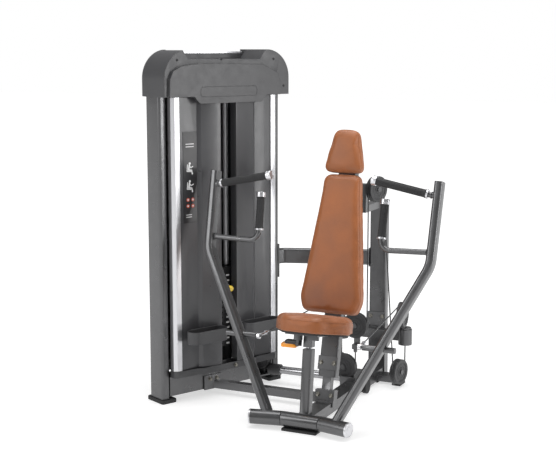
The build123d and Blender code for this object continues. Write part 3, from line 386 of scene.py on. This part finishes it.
def refined(node, width, look=None, angle=32, segments=2):
    """A CAD node's form with its sharp edges rolled over, standing in for the node."""
    source = NODES[node]
    bm = bmesh.new()
    bm.from_mesh(source.data)
    bmesh.ops.remove_doubles(bm, verts=bm.verts, dist=2e-6)
    bmesh.ops.dissolve_limit(bm, angle_limit=math.radians(0.6), verts=bm.verts, edges=bm.edges)
    obj = piece(f"{node}_form", bm, angle=angle)
    roll = obj.modifiers.new("roll", "BEVEL")
    roll.limit_method = "ANGLE"
    roll.angle_limit = math.radians(angle)
    roll.width = width * MM
    roll.segments = segments
    roll.use_clamp_overlap = True
    roll.harden_normals = True
    applied(obj)
    slot = NODE_SLOT[node]
    return finish(obj, source["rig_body"], look or slot, node, slot=slot)


def skin(bm, rings):
    """Joins rings of points in order and closes both ends."""
    count = len(rings[0])
    for a, b in zip(rings, rings[1:]):
        for k in range(count):
            bm.faces.new((a[k], a[(k + 1) % count], b[(k + 1) % count], b[k]))
    bm.faces.new(rings[0])
    bm.faces.new(rings[-1])


def tube(bm, points, radius, count=20):
    """A round tube through points, in metres, with flat ends."""
    points = [Vector(p) for p in points]
    rings = []
    across = None
    for i, point in enumerate(points):
        ahead = points[min(i + 1, len(points) - 1)] - points[max(i - 1, 0)]
        z = ahead.normalized()
        if across is None:
            across = along_axis(point, z).to_3x3().col[0]
        across = (across - z * across.dot(z)).normalized()
        other = z.cross(across)
        turns = [2 * math.pi * k / count for k in range(count)]
        rings.append([bm.verts.new(point + (across * math.cos(turn) + other * math.sin(turn)) * radius)
                      for turn in turns])
    skin(bm, rings)


def slab(bm, outline, low, high, matrix, round_mm=0.0):
    """A flat piece from an outline in millimetres, with its upper rim stepped in."""
    layers = [(low, 0.0), (high, 0.0)]
    if round_mm:
        layers = [(low, 0.0), (high - round_mm, 0.0), (high, round_mm)]
    count = len(outline)
    middle = Vector((sum(p[0] for p in outline) / count, sum(p[1] for p in outline) / count, 0))
    rings = []
    for height, inset in layers:
        ring = []
        for x, y in outline:
            away = Vector((x, y, 0)) - middle
            spot = middle + away * (1 - inset / max(away.length, 1e-6))
            ring.append(bm.verts.new(matrix @ Vector((spot.x * MM, spot.y * MM, height * MM))))
        rings.append(ring)
    skin(bm, rings)


def rounded(points, radii, steps=8):
    """A polygon's outline with its corners rounded, as (x, y) in millimetres."""
    outline = []
    count = len(points)
    for k in range(count):
        before, corner, after = (Vector(points[(k + d) % count]) for d in (-1, 0, 1))
        a, b = (before - corner).normalized(), (after - corner).normalized()
        half = a.angle(b) / 2
        radius = radii[k]
        reach = radius / math.tan(half)
        centre = corner + (a + b).normalized() * (radius / math.sin(half))
        start, end = corner + a * reach - centre, corner + b * reach - centre
        for s in range(steps + 1):
            mix = start.lerp(end, s / steps)
            if s not in (0, steps):
                mix = mix.normalized() * radius
            outline.append(tuple(centre + mix))
    return outline


# ---- upholstery ------------------------------------------------------------------------------
FILL_FRAMES = 20
STITCH_INSET = 7 * MM


def centre_of(ring):
    """The mean of an outline's points."""
    return sum(ring, Vector((0, 0))) / len(ring)


def drawn_in(p, middle, inset):
    """A point moved towards the middle by an inset."""
    return middle + (p - middle) * (1 - inset / (p - middle).length)


def resample(outline, spacing):
    """A closed outline divided evenly."""
    spots = [Vector(p) for p in outline]
    runs = [(b - a).length for a, b in zip(spots, spots[1:] + spots[:1])]
    around = sum(runs)
    count = max(12, round(around / spacing))
    result, k, gone = [], 0, 0.0
    for i in range(count):
        goal = around * i / count
        while gone + runs[k] < goal:
            gone += runs[k]
            k += 1
        a, b = spots[k], spots[(k + 1) % len(spots)]
        result.append(a.lerp(b, (goal - gone) / runs[k]))
    return result


def cushion(name, outline, low, thick, matrix, crown, cap):
    """A foam pad: a rounded block, swollen by cloth pressure, kept flat where it meets its board."""
    bm = bmesh.new()
    ring = resample(outline, 9)
    middle = centre_of(ring)
    section = [(low, 3.0), (low + 2.5, 0.8), (low + thick * 0.35, 0.0), (low + thick * 0.66, 0.3),
               (low + thick * 0.84, 2.5), (low + thick * 0.95, 7.0), (low + thick, 15.0)]
    rings = []
    for height, inset in section:
        spots = [drawn_in(p, middle, inset) for p in ring]
        rings.append([bm.verts.new(Vector((p.x * MM, p.y * MM, height * MM))) for p in spots])
    skin(bm, rings)
    obj = piece(name, bm, smooth=False)
    grid = obj.modifiers.new("grid", "REMESH")
    grid.mode = "VOXEL"
    grid.voxel_size = 0.006
    applied(obj)
    start = np.array([v.co for v in obj.data.vertices], float)
    cloth = obj.modifiers.new("fill", "CLOTH")
    cloth.settings.quality = 5
    cloth.settings.mass = 0.3
    cloth.settings.tension_stiffness = 18
    cloth.settings.compression_stiffness = 18
    cloth.settings.shear_stiffness = 8
    cloth.settings.bending_stiffness = 2.5
    cloth.settings.use_pressure = True
    cloth.settings.uniform_pressure_force = 4.0
    cloth.settings.effector_weights.gravity = 0
    cloth.collision_settings.use_collision = False
    cloth.point_cache.frame_start, cloth.point_cache.frame_end = 1, FILL_FRAMES
    scene = bpy.context.scene
    for step in range(1, FILL_FRAMES + 1):
        scene.frame_set(step)
    applied(obj)
    scene.frame_set(1)
    moved = np.array([v.co for v in obj.data.vertices], float)
    shift = moved - start
    shift -= shift.mean(axis=0)
    reach = np.linalg.norm(shift, axis=1, keepdims=True)
    limit = cap * MM
    shift *= np.where(reach > limit, limit / np.maximum(reach, 1e-9), 1.0)
    level = np.clip((start[:, 2] - low * MM) / (thick * MM * 0.25), 0, 1)
    shift *= level[:, None]
    centre = np.array(middle) * MM
    spread = np.abs(start[:, :2] - centre).max(axis=0)
    inner = 1 - ((start[:, 0] - centre[0]) / spread[0]) ** 2
    inner *= 1 - 0.7 * ((start[:, 1] - centre[1]) / spread[1]) ** 4
    top = np.clip((start[:, 2] - (low + thick * 0.5) * MM) / (thick * MM * 0.5), 0, 1)
    shift[:, 2] = np.clip(shift[:, 2], -2 * MM, 7 * MM) + crown * MM * np.clip(inner, 0, 1) * top
    final = start + shift
    for vertex, spot in zip(obj.data.vertices, final):
        vertex.co = spot
    relax = obj.modifiers.new("relax", "SMOOTH")
    relax.factor, relax.iterations = 0.5, 6
    fine = obj.modifiers.new("fine", "SUBSURF")
    fine.levels = fine.render_levels = 1
    applied(obj)
    obj.data.shade_smooth()
    obj.data.transform(matrix)
    return obj


def surface_of(obj):
    """A search tree over a piece's faces."""
    bm = bmesh.new()
    bm.from_mesh(obj.data)
    tree = BVHTree.FromBMesh(bm)
    bm.free()
    return tree


def seam(name, cushion_piece, outline, height, matrix, body, piping=1.5, inset=0.0):
    """Piping laid round a pad on its surface, with a row of stitches beside it."""
    tree = surface_of(cushion_piece)
    ring = resample(outline, 6)
    middle = centre_of(ring)
    spots = []
    for p in ring:
        q = drawn_in(p, middle, inset)
        spots.append(tree.find_nearest(matrix @ Vector((q.x * MM, q.y * MM, height * MM)))[0])
    for _ in range(3):
        spots = [(spots[k - 1] + spots[k] * 2 + spots[(k + 1) % len(spots)]) / 4 for k in range(len(spots))]
    bm = bmesh.new()
    loop = spots + spots[:1]
    tube(bm, loop, piping * MM, 8)
    finish(piece(name, bm, angle=60), body, "pad_leather")
    bm = bmesh.new()
    inwards = (matrix @ Vector((middle.x * MM, middle.y * MM, height * MM)))
    lift = matrix.to_3x3().col[2]
    beside = [spot.lerp(inwards, STITCH_INSET / (inwards - spot).length) + lift * 2 * MM for spot in spots]
    for k, here in enumerate(beside):
        a, normal, _, _ = tree.find_nearest(here)
        b = tree.find_nearest(beside[(k + 1) % len(beside)])[0]
        a, b = a.lerp(b, 0.2) + normal * 0.1 * MM, a.lerp(b, 0.8) + normal * 0.1 * MM
        tube(bm, [a, a.lerp(b, 0.5) + normal * 0.35 * MM, b], 0.45 * MM, 6)
    finish(piece(f"{name}_stitches", bm, angle=60), body, "thread", slot="pad_leather")


BACK = [(-128, -6), (128, -6), (148, 60), (120, 290), (84, 616), (-84, 616), (-120, 290), (-148, 60)]
BACK_R = [30, 30, 45, 900, 36, 36, 900, 45]
HEAD = [(-88, 628), (88, 628), (50, 808), (-50, 808)]
HEAD_R = [20, 20, 30, 30]
SEAT = [(-84, 0), (84, 0), (178, 148), (142, 285), (-142, 285), (-178, 148)]
SEAT_R = [60, 60, 40, 34, 34, 40]
BOARD = 7.0  # thickness of the board under each pad, mm


def shrunk(points, radii, inset):
    """An outline drawn in by an inset, about its middle."""
    outline = resample(rounded(points, radii), 8)
    middle = centre_of(outline)
    return [tuple(drawn_in(p, middle, inset)) for p in outline]


# name, body, outline, corner radii, frame, thickness, crown, inset (below 0 reaches past the outline)
PADS = (
    ("backrest", "frame", BACK, BACK_R, pad_back, 52, 5.0, -5.0),
    ("headrest", "frame", HEAD, HEAD_R, pad_back, 52, 6.0, -9.0),
    ("seat_pad", "seat", SEAT, SEAT_R, seat_frame, 70, 4.0, 1.0),
)
for name, body, points, radii, matrix, thick, crown, inset in PADS:
    outline = shrunk(points, radii, inset)
    pad = cushion(f"{name}_cushion", outline, BOARD, thick - BOARD - 2, matrix, crown, 8.0)
    finish(pad, body, "pad_leather", name)
    bm = bmesh.new()
    slab(bm, shrunk(points, radii, 16.0), 0.0, BOARD + 1.5, matrix, 1.5)
    finish(piece(f"{name}_board", bm), body, "board_black", slot="black_rubber")
    seam(f"{name}_piping", pad, outline, thick - 9, matrix, body, 1.6, 3.0)
    seam(f"{name}_lower_piping", pad, outline, BOARD + 4, matrix, body, 1.3, 0.0)

# ---- hard parts from the frame, with rolled edges -----------------------------------------------
ROLLED = {
    "tower_front_upright": 0.8, "tower_rear_upright": 0.8, "tower_cross_beams": 1.2, "rubber_feet": 2.5,
    "shroud_left": 1.0, "shroud_right": 1.0, "trims": 0.8, "rear_shroud": 1.0, "base_lip": 1.8, "top_cap": 4.0,
    "cup_trays": 1.4, "strut": 1.5, "low_beam": 2.0, "cable_guard": 0.8, "seat_base": 2.0, "main_post": 1.0,
    "rear_post": 1.5, "rear_cross_beam": 2.5, "joint_plates": 1.5, "pulley_brackets": 1.0, "weight_plates": 1.6,
    "lifted_plates": 1.6, "head_plate": 1.8, "floating_bracket": 1.0, "seat_carriage": 1.2,
    "placard": 0.4, "press_arm_right": 1.5, "press_arm_left": 1.5, "guide_rods": 0.8, "stack_buffers": 2.0,
    "cable_clevis_right": 0.8, "cable_clevis_left": 0.8, "selector_pin": 0.6, "pivot_bushes": 0.6,
}
for node, width in ROLLED.items():
    refined(node, width, "rod_steel" if node == "guide_rods" else None)

# ---- guard tube in bright steel between its dark sleeves ------------------------------------------
guard = bpy.data.objects["cable_guard_form"]
guard.data.materials.append(LOOKS["guide_steel"])
guard.data.materials.append(LOOKS["dark_sleeve"])
GUARD_STEEL = (-0.335, -0.075)
for face in guard.data.polygons:
    face.material_index = 1 if GUARD_STEEL[0] < face.center.x < GUARD_STEEL[1] else 2

# ---- chrome stem under the seat -------------------------------------------------------------------
carriage = bpy.data.objects["seat_carriage_form"]
carriage.data.materials.append(LOOKS["chrome_steel"])
carriage.data.materials.append(LOOKS["frame_paint"])
COLUMN_FOOT = Vector((0, 0.048, 0.060))
COLUMN_LEAN = math.radians(6.5)
COLUMN_RUN = Vector((0, -math.sin(COLUMN_LEAN), math.cos(COLUMN_LEAN)))
COLUMN_BACK = Vector((0, math.sin(COLUMN_LEAN), math.cos(COLUMN_LEAN)))
STEM_RADIUS, STEM_TOP = 12.2 * MM, 0.398
for face in carriage.data.polygons:
    gap = min((face.center - COLUMN_FOOT).cross(run).length for run in (COLUMN_RUN, COLUMN_BACK))
    face.material_index = 1 if gap < STEM_RADIUS and face.center.z < STEM_TOP else 2

# ---- seat lever -----------------------------------------------------------------------------------
low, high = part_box("seat_lever")
middle = (low + high) / 2
bm = bmesh.new()
PADDLE_TIP = 48
paddle = rounded([(-PADDLE_TIP, -19), (22, -16), (22, 16), (-PADDLE_TIP, 19)], [15, 8, 8, 15], 6)
spot = axes(Vector((1, 0, 0)), Vector((0, 1, 0)), UP,
            Vector((low.x + PADDLE_TIP * MM, middle.y, middle.z - 9 * MM)))
slab(bm, paddle, -6, 0, spot)
slab(bm, paddle, 0, 12, spot, 7)
lever_body = NODES["seat_lever"]["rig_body"]
finish(piece("seat_lever_paddle", bm, angle=50), lever_body, "lever_orange", "seat_lever")
bm = bmesh.new()
slab(bm, rounded([(-30, -17), (34, -15), (34, 15), (-30, 17)], [12, 6, 6, 12], 6), 10, 24, spot, 5)
tongue = (high.x - low.x) / MM - PADDLE_TIP
slab(bm, rounded([(8, -9), (tongue, -9), (tongue, 9), (8, 9)], [4] * 4, 4), 2, 14, spot, 3)
finish(piece("seat_lever_cover", bm, angle=50), lever_body, "dark_sleeve", slot="black_rubber")

# ---- pulleys ------------------------------------------------------------------------------------
BORE = 8.05
WHEEL = [(BORE, -15), (9, -16), (19, -16), (20, -15), (23, -12.5), (44, -12.5), (46, -15.5), (47, -16),
         (58.6, -16), (60, -14.6), (60, -6.2), (59.4, -5.6), (53.6, -3.2), (52.5, -2.2), (52.5, 2.2),
         (53.6, 3.2), (59.4, 5.6), (60, 6.2), (60, 14.6), (58.6, 16), (47, 16), (46, 15.5), (44, 12.5),
         (36, 12.5), (35, 13.6), (30, 13.6), (29, 12.5), (23, 12.5), (20, 15), (19, 16), (9, 16), (BORE, 15)]


def wheel(node, centre, axis):
    """A moulded pulley wheel with a stepped face."""
    low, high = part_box(node)
    small = (high - low).length < 0.14
    size = 0.75 if small else 1.0
    profile = [(BORE if r == BORE else r * size, h * size) for r, h in WHEEL]
    bm = bmesh.new()
    turned(bm, profile, along_axis(centre, axis), 72)
    finish(piece(f"{node}_wheel", bm, angle=28), NODES[node]["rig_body"], "pulley_plastic", node)


JOINTS = {joint["name"]: joint for joint in frame["joints"]}
for node in ("floating_pulley", "turn_pulley", "base_pulley", "head_pulley_rear", "head_pulley_front",
             "top_pulley_right", "top_pulley_left", "low_pulley_right", "low_pulley_left",
             "guide_pulley_right", "guide_pulley_left"):
    joint = JOINTS[f"{node}_spin"]
    wheel(node, Vector(joint["pos_m"]), Vector(joint["axis"]))

# ---- grips --------------------------------------------------------------------------------------
GRIP_INNER, GRIP_OUTER = Vector((240, 199, 1061)) * MM, Vector((512, 199, 1008)) * MM
BAR_CORNER, BAR_TOP = Vector((283, 170, 774)) * MM, Vector((288, 209, 976)) * MM


def flipped(point, side):
    """A point mirrored to the left arm where side is -1."""
    return Vector((point.x * side, point.y, point.z))


def sleeve_profile(length):
    """A rubber grip's section: flared ends and shallow rings."""
    profile = [(12.2, 0), (17.6, 0), (18.4, 1.2), (18.4, 4), (17.2, 6)]
    rings = int((length - 24) // 11)
    pitch = (length - 24) / rings
    for k in range(rings):
        h = 12 + k * pitch
        profile += [(17.0, h), (17.0, h + pitch - 2.6), (16.3, h + pitch - 1.9), (16.3, h + pitch - 0.7)]
    profile += [(17.2, length - 6), (17.8, length - 4), (17.8, length - 1), (17.2, length), (12.2, length)]
    return profile


CAP = [(12.2, -14), (19.6, -14), (20.5, -13), (20.5, -9), (19.9, -8.4), (19.9, -7), (20.5, -6.4), (20.5, 4.5),
       (20.1, 6.4), (18.6, 7.6), (14, 8), (12.8, 7.2), (0, 7.2)]
RING = [(12.2, 0), (18.6, 0), (19.5, 0.9), (19.5, 3.4), (18.9, 4), (19.5, 4.6), (19.5, 7.1), (18.6, 8),
        (12.2, 8)]
PIVOT_CAP = [(0, 0), (31.6, 0), (32, 0.6), (32, 5.6), (30.6, 7.4), (27, 8), (25.8, 6.8), (14, 6.2),
             (12.8, 7.6), (5, 7.8), (0, 7.8)]
SPLAY = math.radians(12)  # how far each half of the pivot axis leans forward from X
for side, label in ((1, "right"), (-1, "left")):
    body = f"{label}_arm"
    rubber, metal = bmesh.new(), bmesh.new()
    for tip, foot, start in ((GRIP_INNER, GRIP_OUTER, 34), (BAR_TOP, BAR_CORNER, 46)):
        tip, foot = flipped(tip, side), flipped(foot, side)
        run = (tip - foot).normalized()
        begin = foot + run * ((start + 8) * MM)
        length = ((tip - run * 14 * MM) - begin).length / MM
        turned(rubber, sleeve_profile(length), along_axis(begin, run), 48)
        lathe(metal, CAP, along_axis(tip, run), 48)
        turned(metal, RING, along_axis(foot + run * start * MM, run), 48)
    pivot = Vector((side * 0.0914, 0, 0.045))
    axle = Vector((side * math.cos(SPLAY), -math.sin(SPLAY), 0))
    lathe(metal, PIVOT_CAP, along_axis(pivot + axle * 134 * MM, axle), 64)
    finish(piece(f"hand_grips_{label}_sleeves", rubber, angle=40), body, "black_rubber", f"hand_grips_{label}")
    finish(piece(f"arm_caps_{label}_turned", metal, angle=30), body, "satin_aluminium", f"arm_caps_{label}")

# ---- fasteners ----------------------------------------------------------------------------------
FRAME_BOLT = (8.6, 6.5)


def up_post(height):
    """A height above the floor, in millimetres, as a distance along the main post."""
    return (height - (post_front.translation.z / MM)) / math.cos(LEAN)


stub_foot, post_start = up_post(60), up_post(168)
bm = bmesh.new()
for side in (-1, 1):
    for along in (post_start + 62, stub_foot + 31):
        hexagon(bm, post_front @ Matrix.Translation((side * 31 * MM, along * MM, 5 * MM)), *FRAME_BOLT)
    hexagon(bm, along_axis(Vector((side * 0.030, 0.897, 0.314)), Vector((0, -1, 0))), *FRAME_BOLT)
for along in (262, 300):
    hexagon(bm, along_axis(at(7, along, 74), OUT), *FRAME_BOLT)
hexagon(bm, along_axis(at(61, 372, 135), OUT), 7.5, 6)
finish(piece("frame_bolts_heads", bm, angle=25), "frame", "bolt_steel", "frame_bolts")

# ---- cables -------------------------------------------------------------------------------------
CABLE_RADIUS = 3 * MM


def spun(name, ends, count=60):
    """A straight cable run with enough rings to stretch."""
    bm = bmesh.new()
    a, b = (Vector(end) for end in ends)
    tube(bm, [a.lerp(b, k / count) for k in range(count + 1)], CABLE_RADIUS, 14)
    obj = piece(name, bm, angle=50)
    obj.data.materials.append(LOOKS["cable_jacket"])
    return obj


# The stack's lead hangs in the tower's middle. The others hang in the plane y = 0.622.
stem = at(-50, MIDDLE, 632)
stem_run = spun("stem_lead", (stem, at(-50, MIDDLE, 1487.6)))
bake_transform(stem_run)
turn_run = spun("floating_swivel_lead", ((0, 0.622, 0.1264), (0, 0.622, 0.200)), 12)
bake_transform(turn_run)
for side, label in ((1, "right"), (-1, "left")):
    run = spun(f"floating_lead_{label}", ((side * 0.056, 0.622, 0.9646), (side * 0.056, 0.622, 0.328)))
    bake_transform(run)
    low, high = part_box(f"arm_lead_{label}")
    inner, outer = (low.x, high.x) if side > 0 else (high.x, low.x)
    rear = Vector((inner + side * CABLE_RADIUS, high.y, high.z - CABLE_RADIUS))
    front = Vector((outer - side * CABLE_RADIUS, low.y, low.z + CABLE_RADIUS))
    run = spun(f"arm_lead_{label}_run", (front, rear))
    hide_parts(f"arm_lead_{label}")
    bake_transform(run)
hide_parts("upright_leads")
for node in ("fixed_cables", "floating_cable"):
    refined(node, 0.1, segments=1)

# ---- the placard's plain pictures ---------------------------------------------------------------
card = axes(ALONG, UP, OUT, at(39, 139, 1033))


def arc(x, y, radius, begin, step, count):
    """Points round a centre from one angle on."""
    turns = [begin + step * k for k in range(count)]
    return [(x + radius * math.cos(turn), y + radius * math.sin(turn)) for turn in turns]


def disc_outline(x, y, radius, count=24):
    """A full circle's outline."""
    return arc(x, y, radius, 0.0, 2 * math.pi / count, count)


def bar_outline(x0, y0, x1, y1, half):
    """A round-ended stroke between two points."""
    turn = math.atan2(y1 - y0, x1 - x0)
    ends = []
    for (x, y), begin in (((x1, y1), turn - math.pi / 2), ((x0, y0), turn + math.pi / 2)):
        ends += arc(x, y, half, begin, math.pi / 8, 9)
    return ends


white, red = bmesh.new(), bmesh.new()
for y, reach in ((42, 1.0), (-38, 1.25)):
    slab(white, disc_outline(-2, y + 21, 5.5), 0.05, 0.35, card)
    strokes = ((-4, y + 12, -8, y - 8, 4.5), (-8, y - 8, 8, y - 10, 3.4), (8, y - 10, 12, y - 26, 3.0),
               (-3, y + 8, 5 * reach, y + 2, 2.6), (5 * reach, y + 2, 14 * reach, y + 7, 2.3),
               (-14, y + 16, -17, y - 14, 2.0), (-16, y - 14, 6, y - 16, 1.8))
    for stroke in strokes:
        slab(white, bar_outline(*stroke), 0.05, 0.35, card)
for x, y in ((-13, -100), (13, -100), (-13, -128), (13, -128)):
    slab(red, disc_outline(x, y, 8.5), 0.05, 0.4, card)
    slab(white, disc_outline(x, y, 4.0), 0.4, 0.6, card)
for y in (150, 138, -168, -178):
    slab(white, bar_outline(-22, y, 20 if y > 0 else 6, y, 1.6), 0.05, 0.3, card)
finish(piece("placard_figures", white), "frame", "print_white", slot="placard_print")
finish(piece("placard_dots", red), "frame", "print_red", slot="placard_print")

# ---- cap details --------------------------------------------------------------------------------
bm = bmesh.new()
face = axes(ALONG, UP, OUT, at(76, MIDDLE, 1450))
ring = rounded([(-165, -58), (150, -58), (150, -14), (-165, -14)], [14] * 4, 6)
loop = [face @ Vector((x * MM, y * MM, 0.2 * MM)) for x, y in ring]
tube(bm, loop + loop[:1], 1.1 * MM, 8)
finish(piece("top_cap_embossing", bm, angle=60), "frame", "cover_plastic")
bm = bmesh.new()
SCREW = [(0, 0.4), (3.2, 0.6), (4.2, 1.2), (5.4, 1.1), (6, 0)]
SCREW_SPOTS = ((62, 60, 1554), (62, 300, 1556), (62, 600, 1556), (62.2, 20, 1425), (62.2, 660, 1432))
for spot in SCREW_SPOTS:
    lathe(bm, SCREW, along_axis(at(*spot), OUT), 24)
finish(piece("top_cap_screws", bm), "frame", "black_rubber", slot="cover_plastic")

# ---- plate marks and welds ------------------------------------------------------------------------
PLATES, STACK_BOTTOM, PLATE_PITCH = 14, 217, 25
bm = bmesh.new()
for level in range(PLATES):
    height = STACK_BOTTOM + PLATE_PITCH * level + 12
    for along in (MIDDLE - 32, MIDDLE + 32):
        mark = axes(ALONG, UP, OUT, at(-1.9, along, height))
        slab(bm, rounded([(-9, -4), (9, -4), (9, 4), (-9, 4)], [2] * 4, 3), 0, 0.5, mark)
finish(piece("plate_marks", bm), "frame", "print_white", slot="placard_print")


WELD_RADIUS = 12.6


def weld(bm, centre, axis, radius, bead=2.6):
    """A rippled weld bead round a joint."""
    m = along_axis(centre, axis)
    count = 60
    loop = []
    for k in range(count):
        turn = 2 * math.pi * k / count
        swell = 1 + 0.02 * math.sin(turn * 20)
        loop.append(m @ polar(radius * swell, turn))
    tube(bm, loop + loop[:1], bead * MM, 8)


for side, label in ((1, "right"), (-1, "left")):
    bm = bmesh.new()
    for centre, axis in (((489, 162.5, 780.5), (-1, 0.04, -0.03)), ((493, 199, 1011.7), (-0.98, 0, 0.19))):
        weld(bm, flipped(Vector(centre) * MM, side), flipped(Vector(axis), side), WELD_RADIUS)
    finish(piece(f"arm_welds_{label}", bm, angle=60), f"{label}_arm", "frame_paint")

# ---- floor, light and camera ----------------------------------------------------------------------
# The floor glows more with distance, and the world is white to the camera but dimmer as a light.
bm = bmesh.new()
bmesh.ops.create_grid(bm, x_segments=2, y_segments=2, size=30)
floor = piece("floor", bm)
WHITE = (1, 1, 1, 1)
ground, tree, shader, where = shade("floor_paint_and_glow", (0.56, 0.56, 0.56), 0.7)
# Painted light: the floor's emission glows from 0.58 near the machine to 0.98 far away, though the floor is no
# lamp.
shader.inputs["Emission Color"].default_value = WHITE
far = tree.nodes.new("ShaderNodeVectorMath")
far.operation = "LENGTH"
tree.links.new(where, far.inputs[0])
glow = tree.nodes.new("ShaderNodeMapRange")
glow.inputs["From Min"].default_value = 1.2
glow.inputs["From Max"].default_value = 5.0
glow.inputs["To Min"].default_value = 0.58
glow.inputs["To Max"].default_value = 0.98
tree.links.new(far.outputs["Value"], glow.inputs["Value"])
tree.links.new(glow.outputs["Result"], shader.inputs["Emission Strength"])
tree.links.new(ramp(tree, noise(tree, where, 3), [(0.3, (0.55, 0.55, 0.55)), (0.7, (0.57, 0.57, 0.57))]),
               shader.inputs["Base Color"])
floor.data.materials.append(ground)

world = bpy.data.worlds.new("studio")
bpy.context.scene.world = world
world.use_nodes = True
sky = world.node_tree
sky.nodes["Background"].inputs["Color"].default_value = WHITE
sky.nodes["Background"].inputs["Strength"].default_value = 0.30
shown = sky.nodes.new("ShaderNodeBackground")
shown.inputs["Color"].default_value = WHITE
shown.inputs["Strength"].default_value = 1.0
rays = sky.nodes.new("ShaderNodeLightPath")
choice = sky.nodes.new("ShaderNodeMixShader")
sky.links.new(rays.outputs["Is Camera Ray"], choice.inputs["Fac"])
sky.links.new(sky.nodes["Background"].outputs["Background"], choice.inputs[1])
sky.links.new(shown.outputs["Background"], choice.inputs[2])
sky.links.new(choice.outputs["Shader"], sky.nodes["World Output"].inputs["Surface"])


def lamp(name, spot, target, size, power):
    """A soft rectangular light."""
    data = bpy.data.lights.new(name, "AREA")
    data.shape = "RECTANGLE"
    data.size, data.size_y = size
    data.energy = power
    obj = bpy.data.objects.new(name, data)
    bpy.context.scene.collection.objects.link(obj)
    obj.location = spot
    obj.rotation_euler = (Vector(target) - Vector(spot)).to_track_quat("-Z", "Y").to_euler()


lamp("key", (-2.4, -3.4, 2.6), (-0.2, 0.3, 0.8), (1.6, 2.6), 62)
lamp("side", (4.0, 0.8, 1.6), (0, 0.3, 0.8), (0.9, 3.0), 66)
lamp("top", (0, 0.5, 4.2), (0, 0.4, 0), (3.5, 3.5), 150)

camera = bpy.data.objects.new("camera", bpy.data.cameras.new("camera"))
bpy.context.scene.collection.objects.link(camera)
camera.location = (1.971, -4.414, 1.608)
camera.rotation_euler = (math.radians(90 - 8.709), 0, math.radians(25.2187))
camera.data.lens = 76.69
camera.data.sensor_width = 36
camera.data.clip_end = 100
bpy.context.scene.camera = camera
bpy.context.scene.view_settings.view_transform = "Standard"
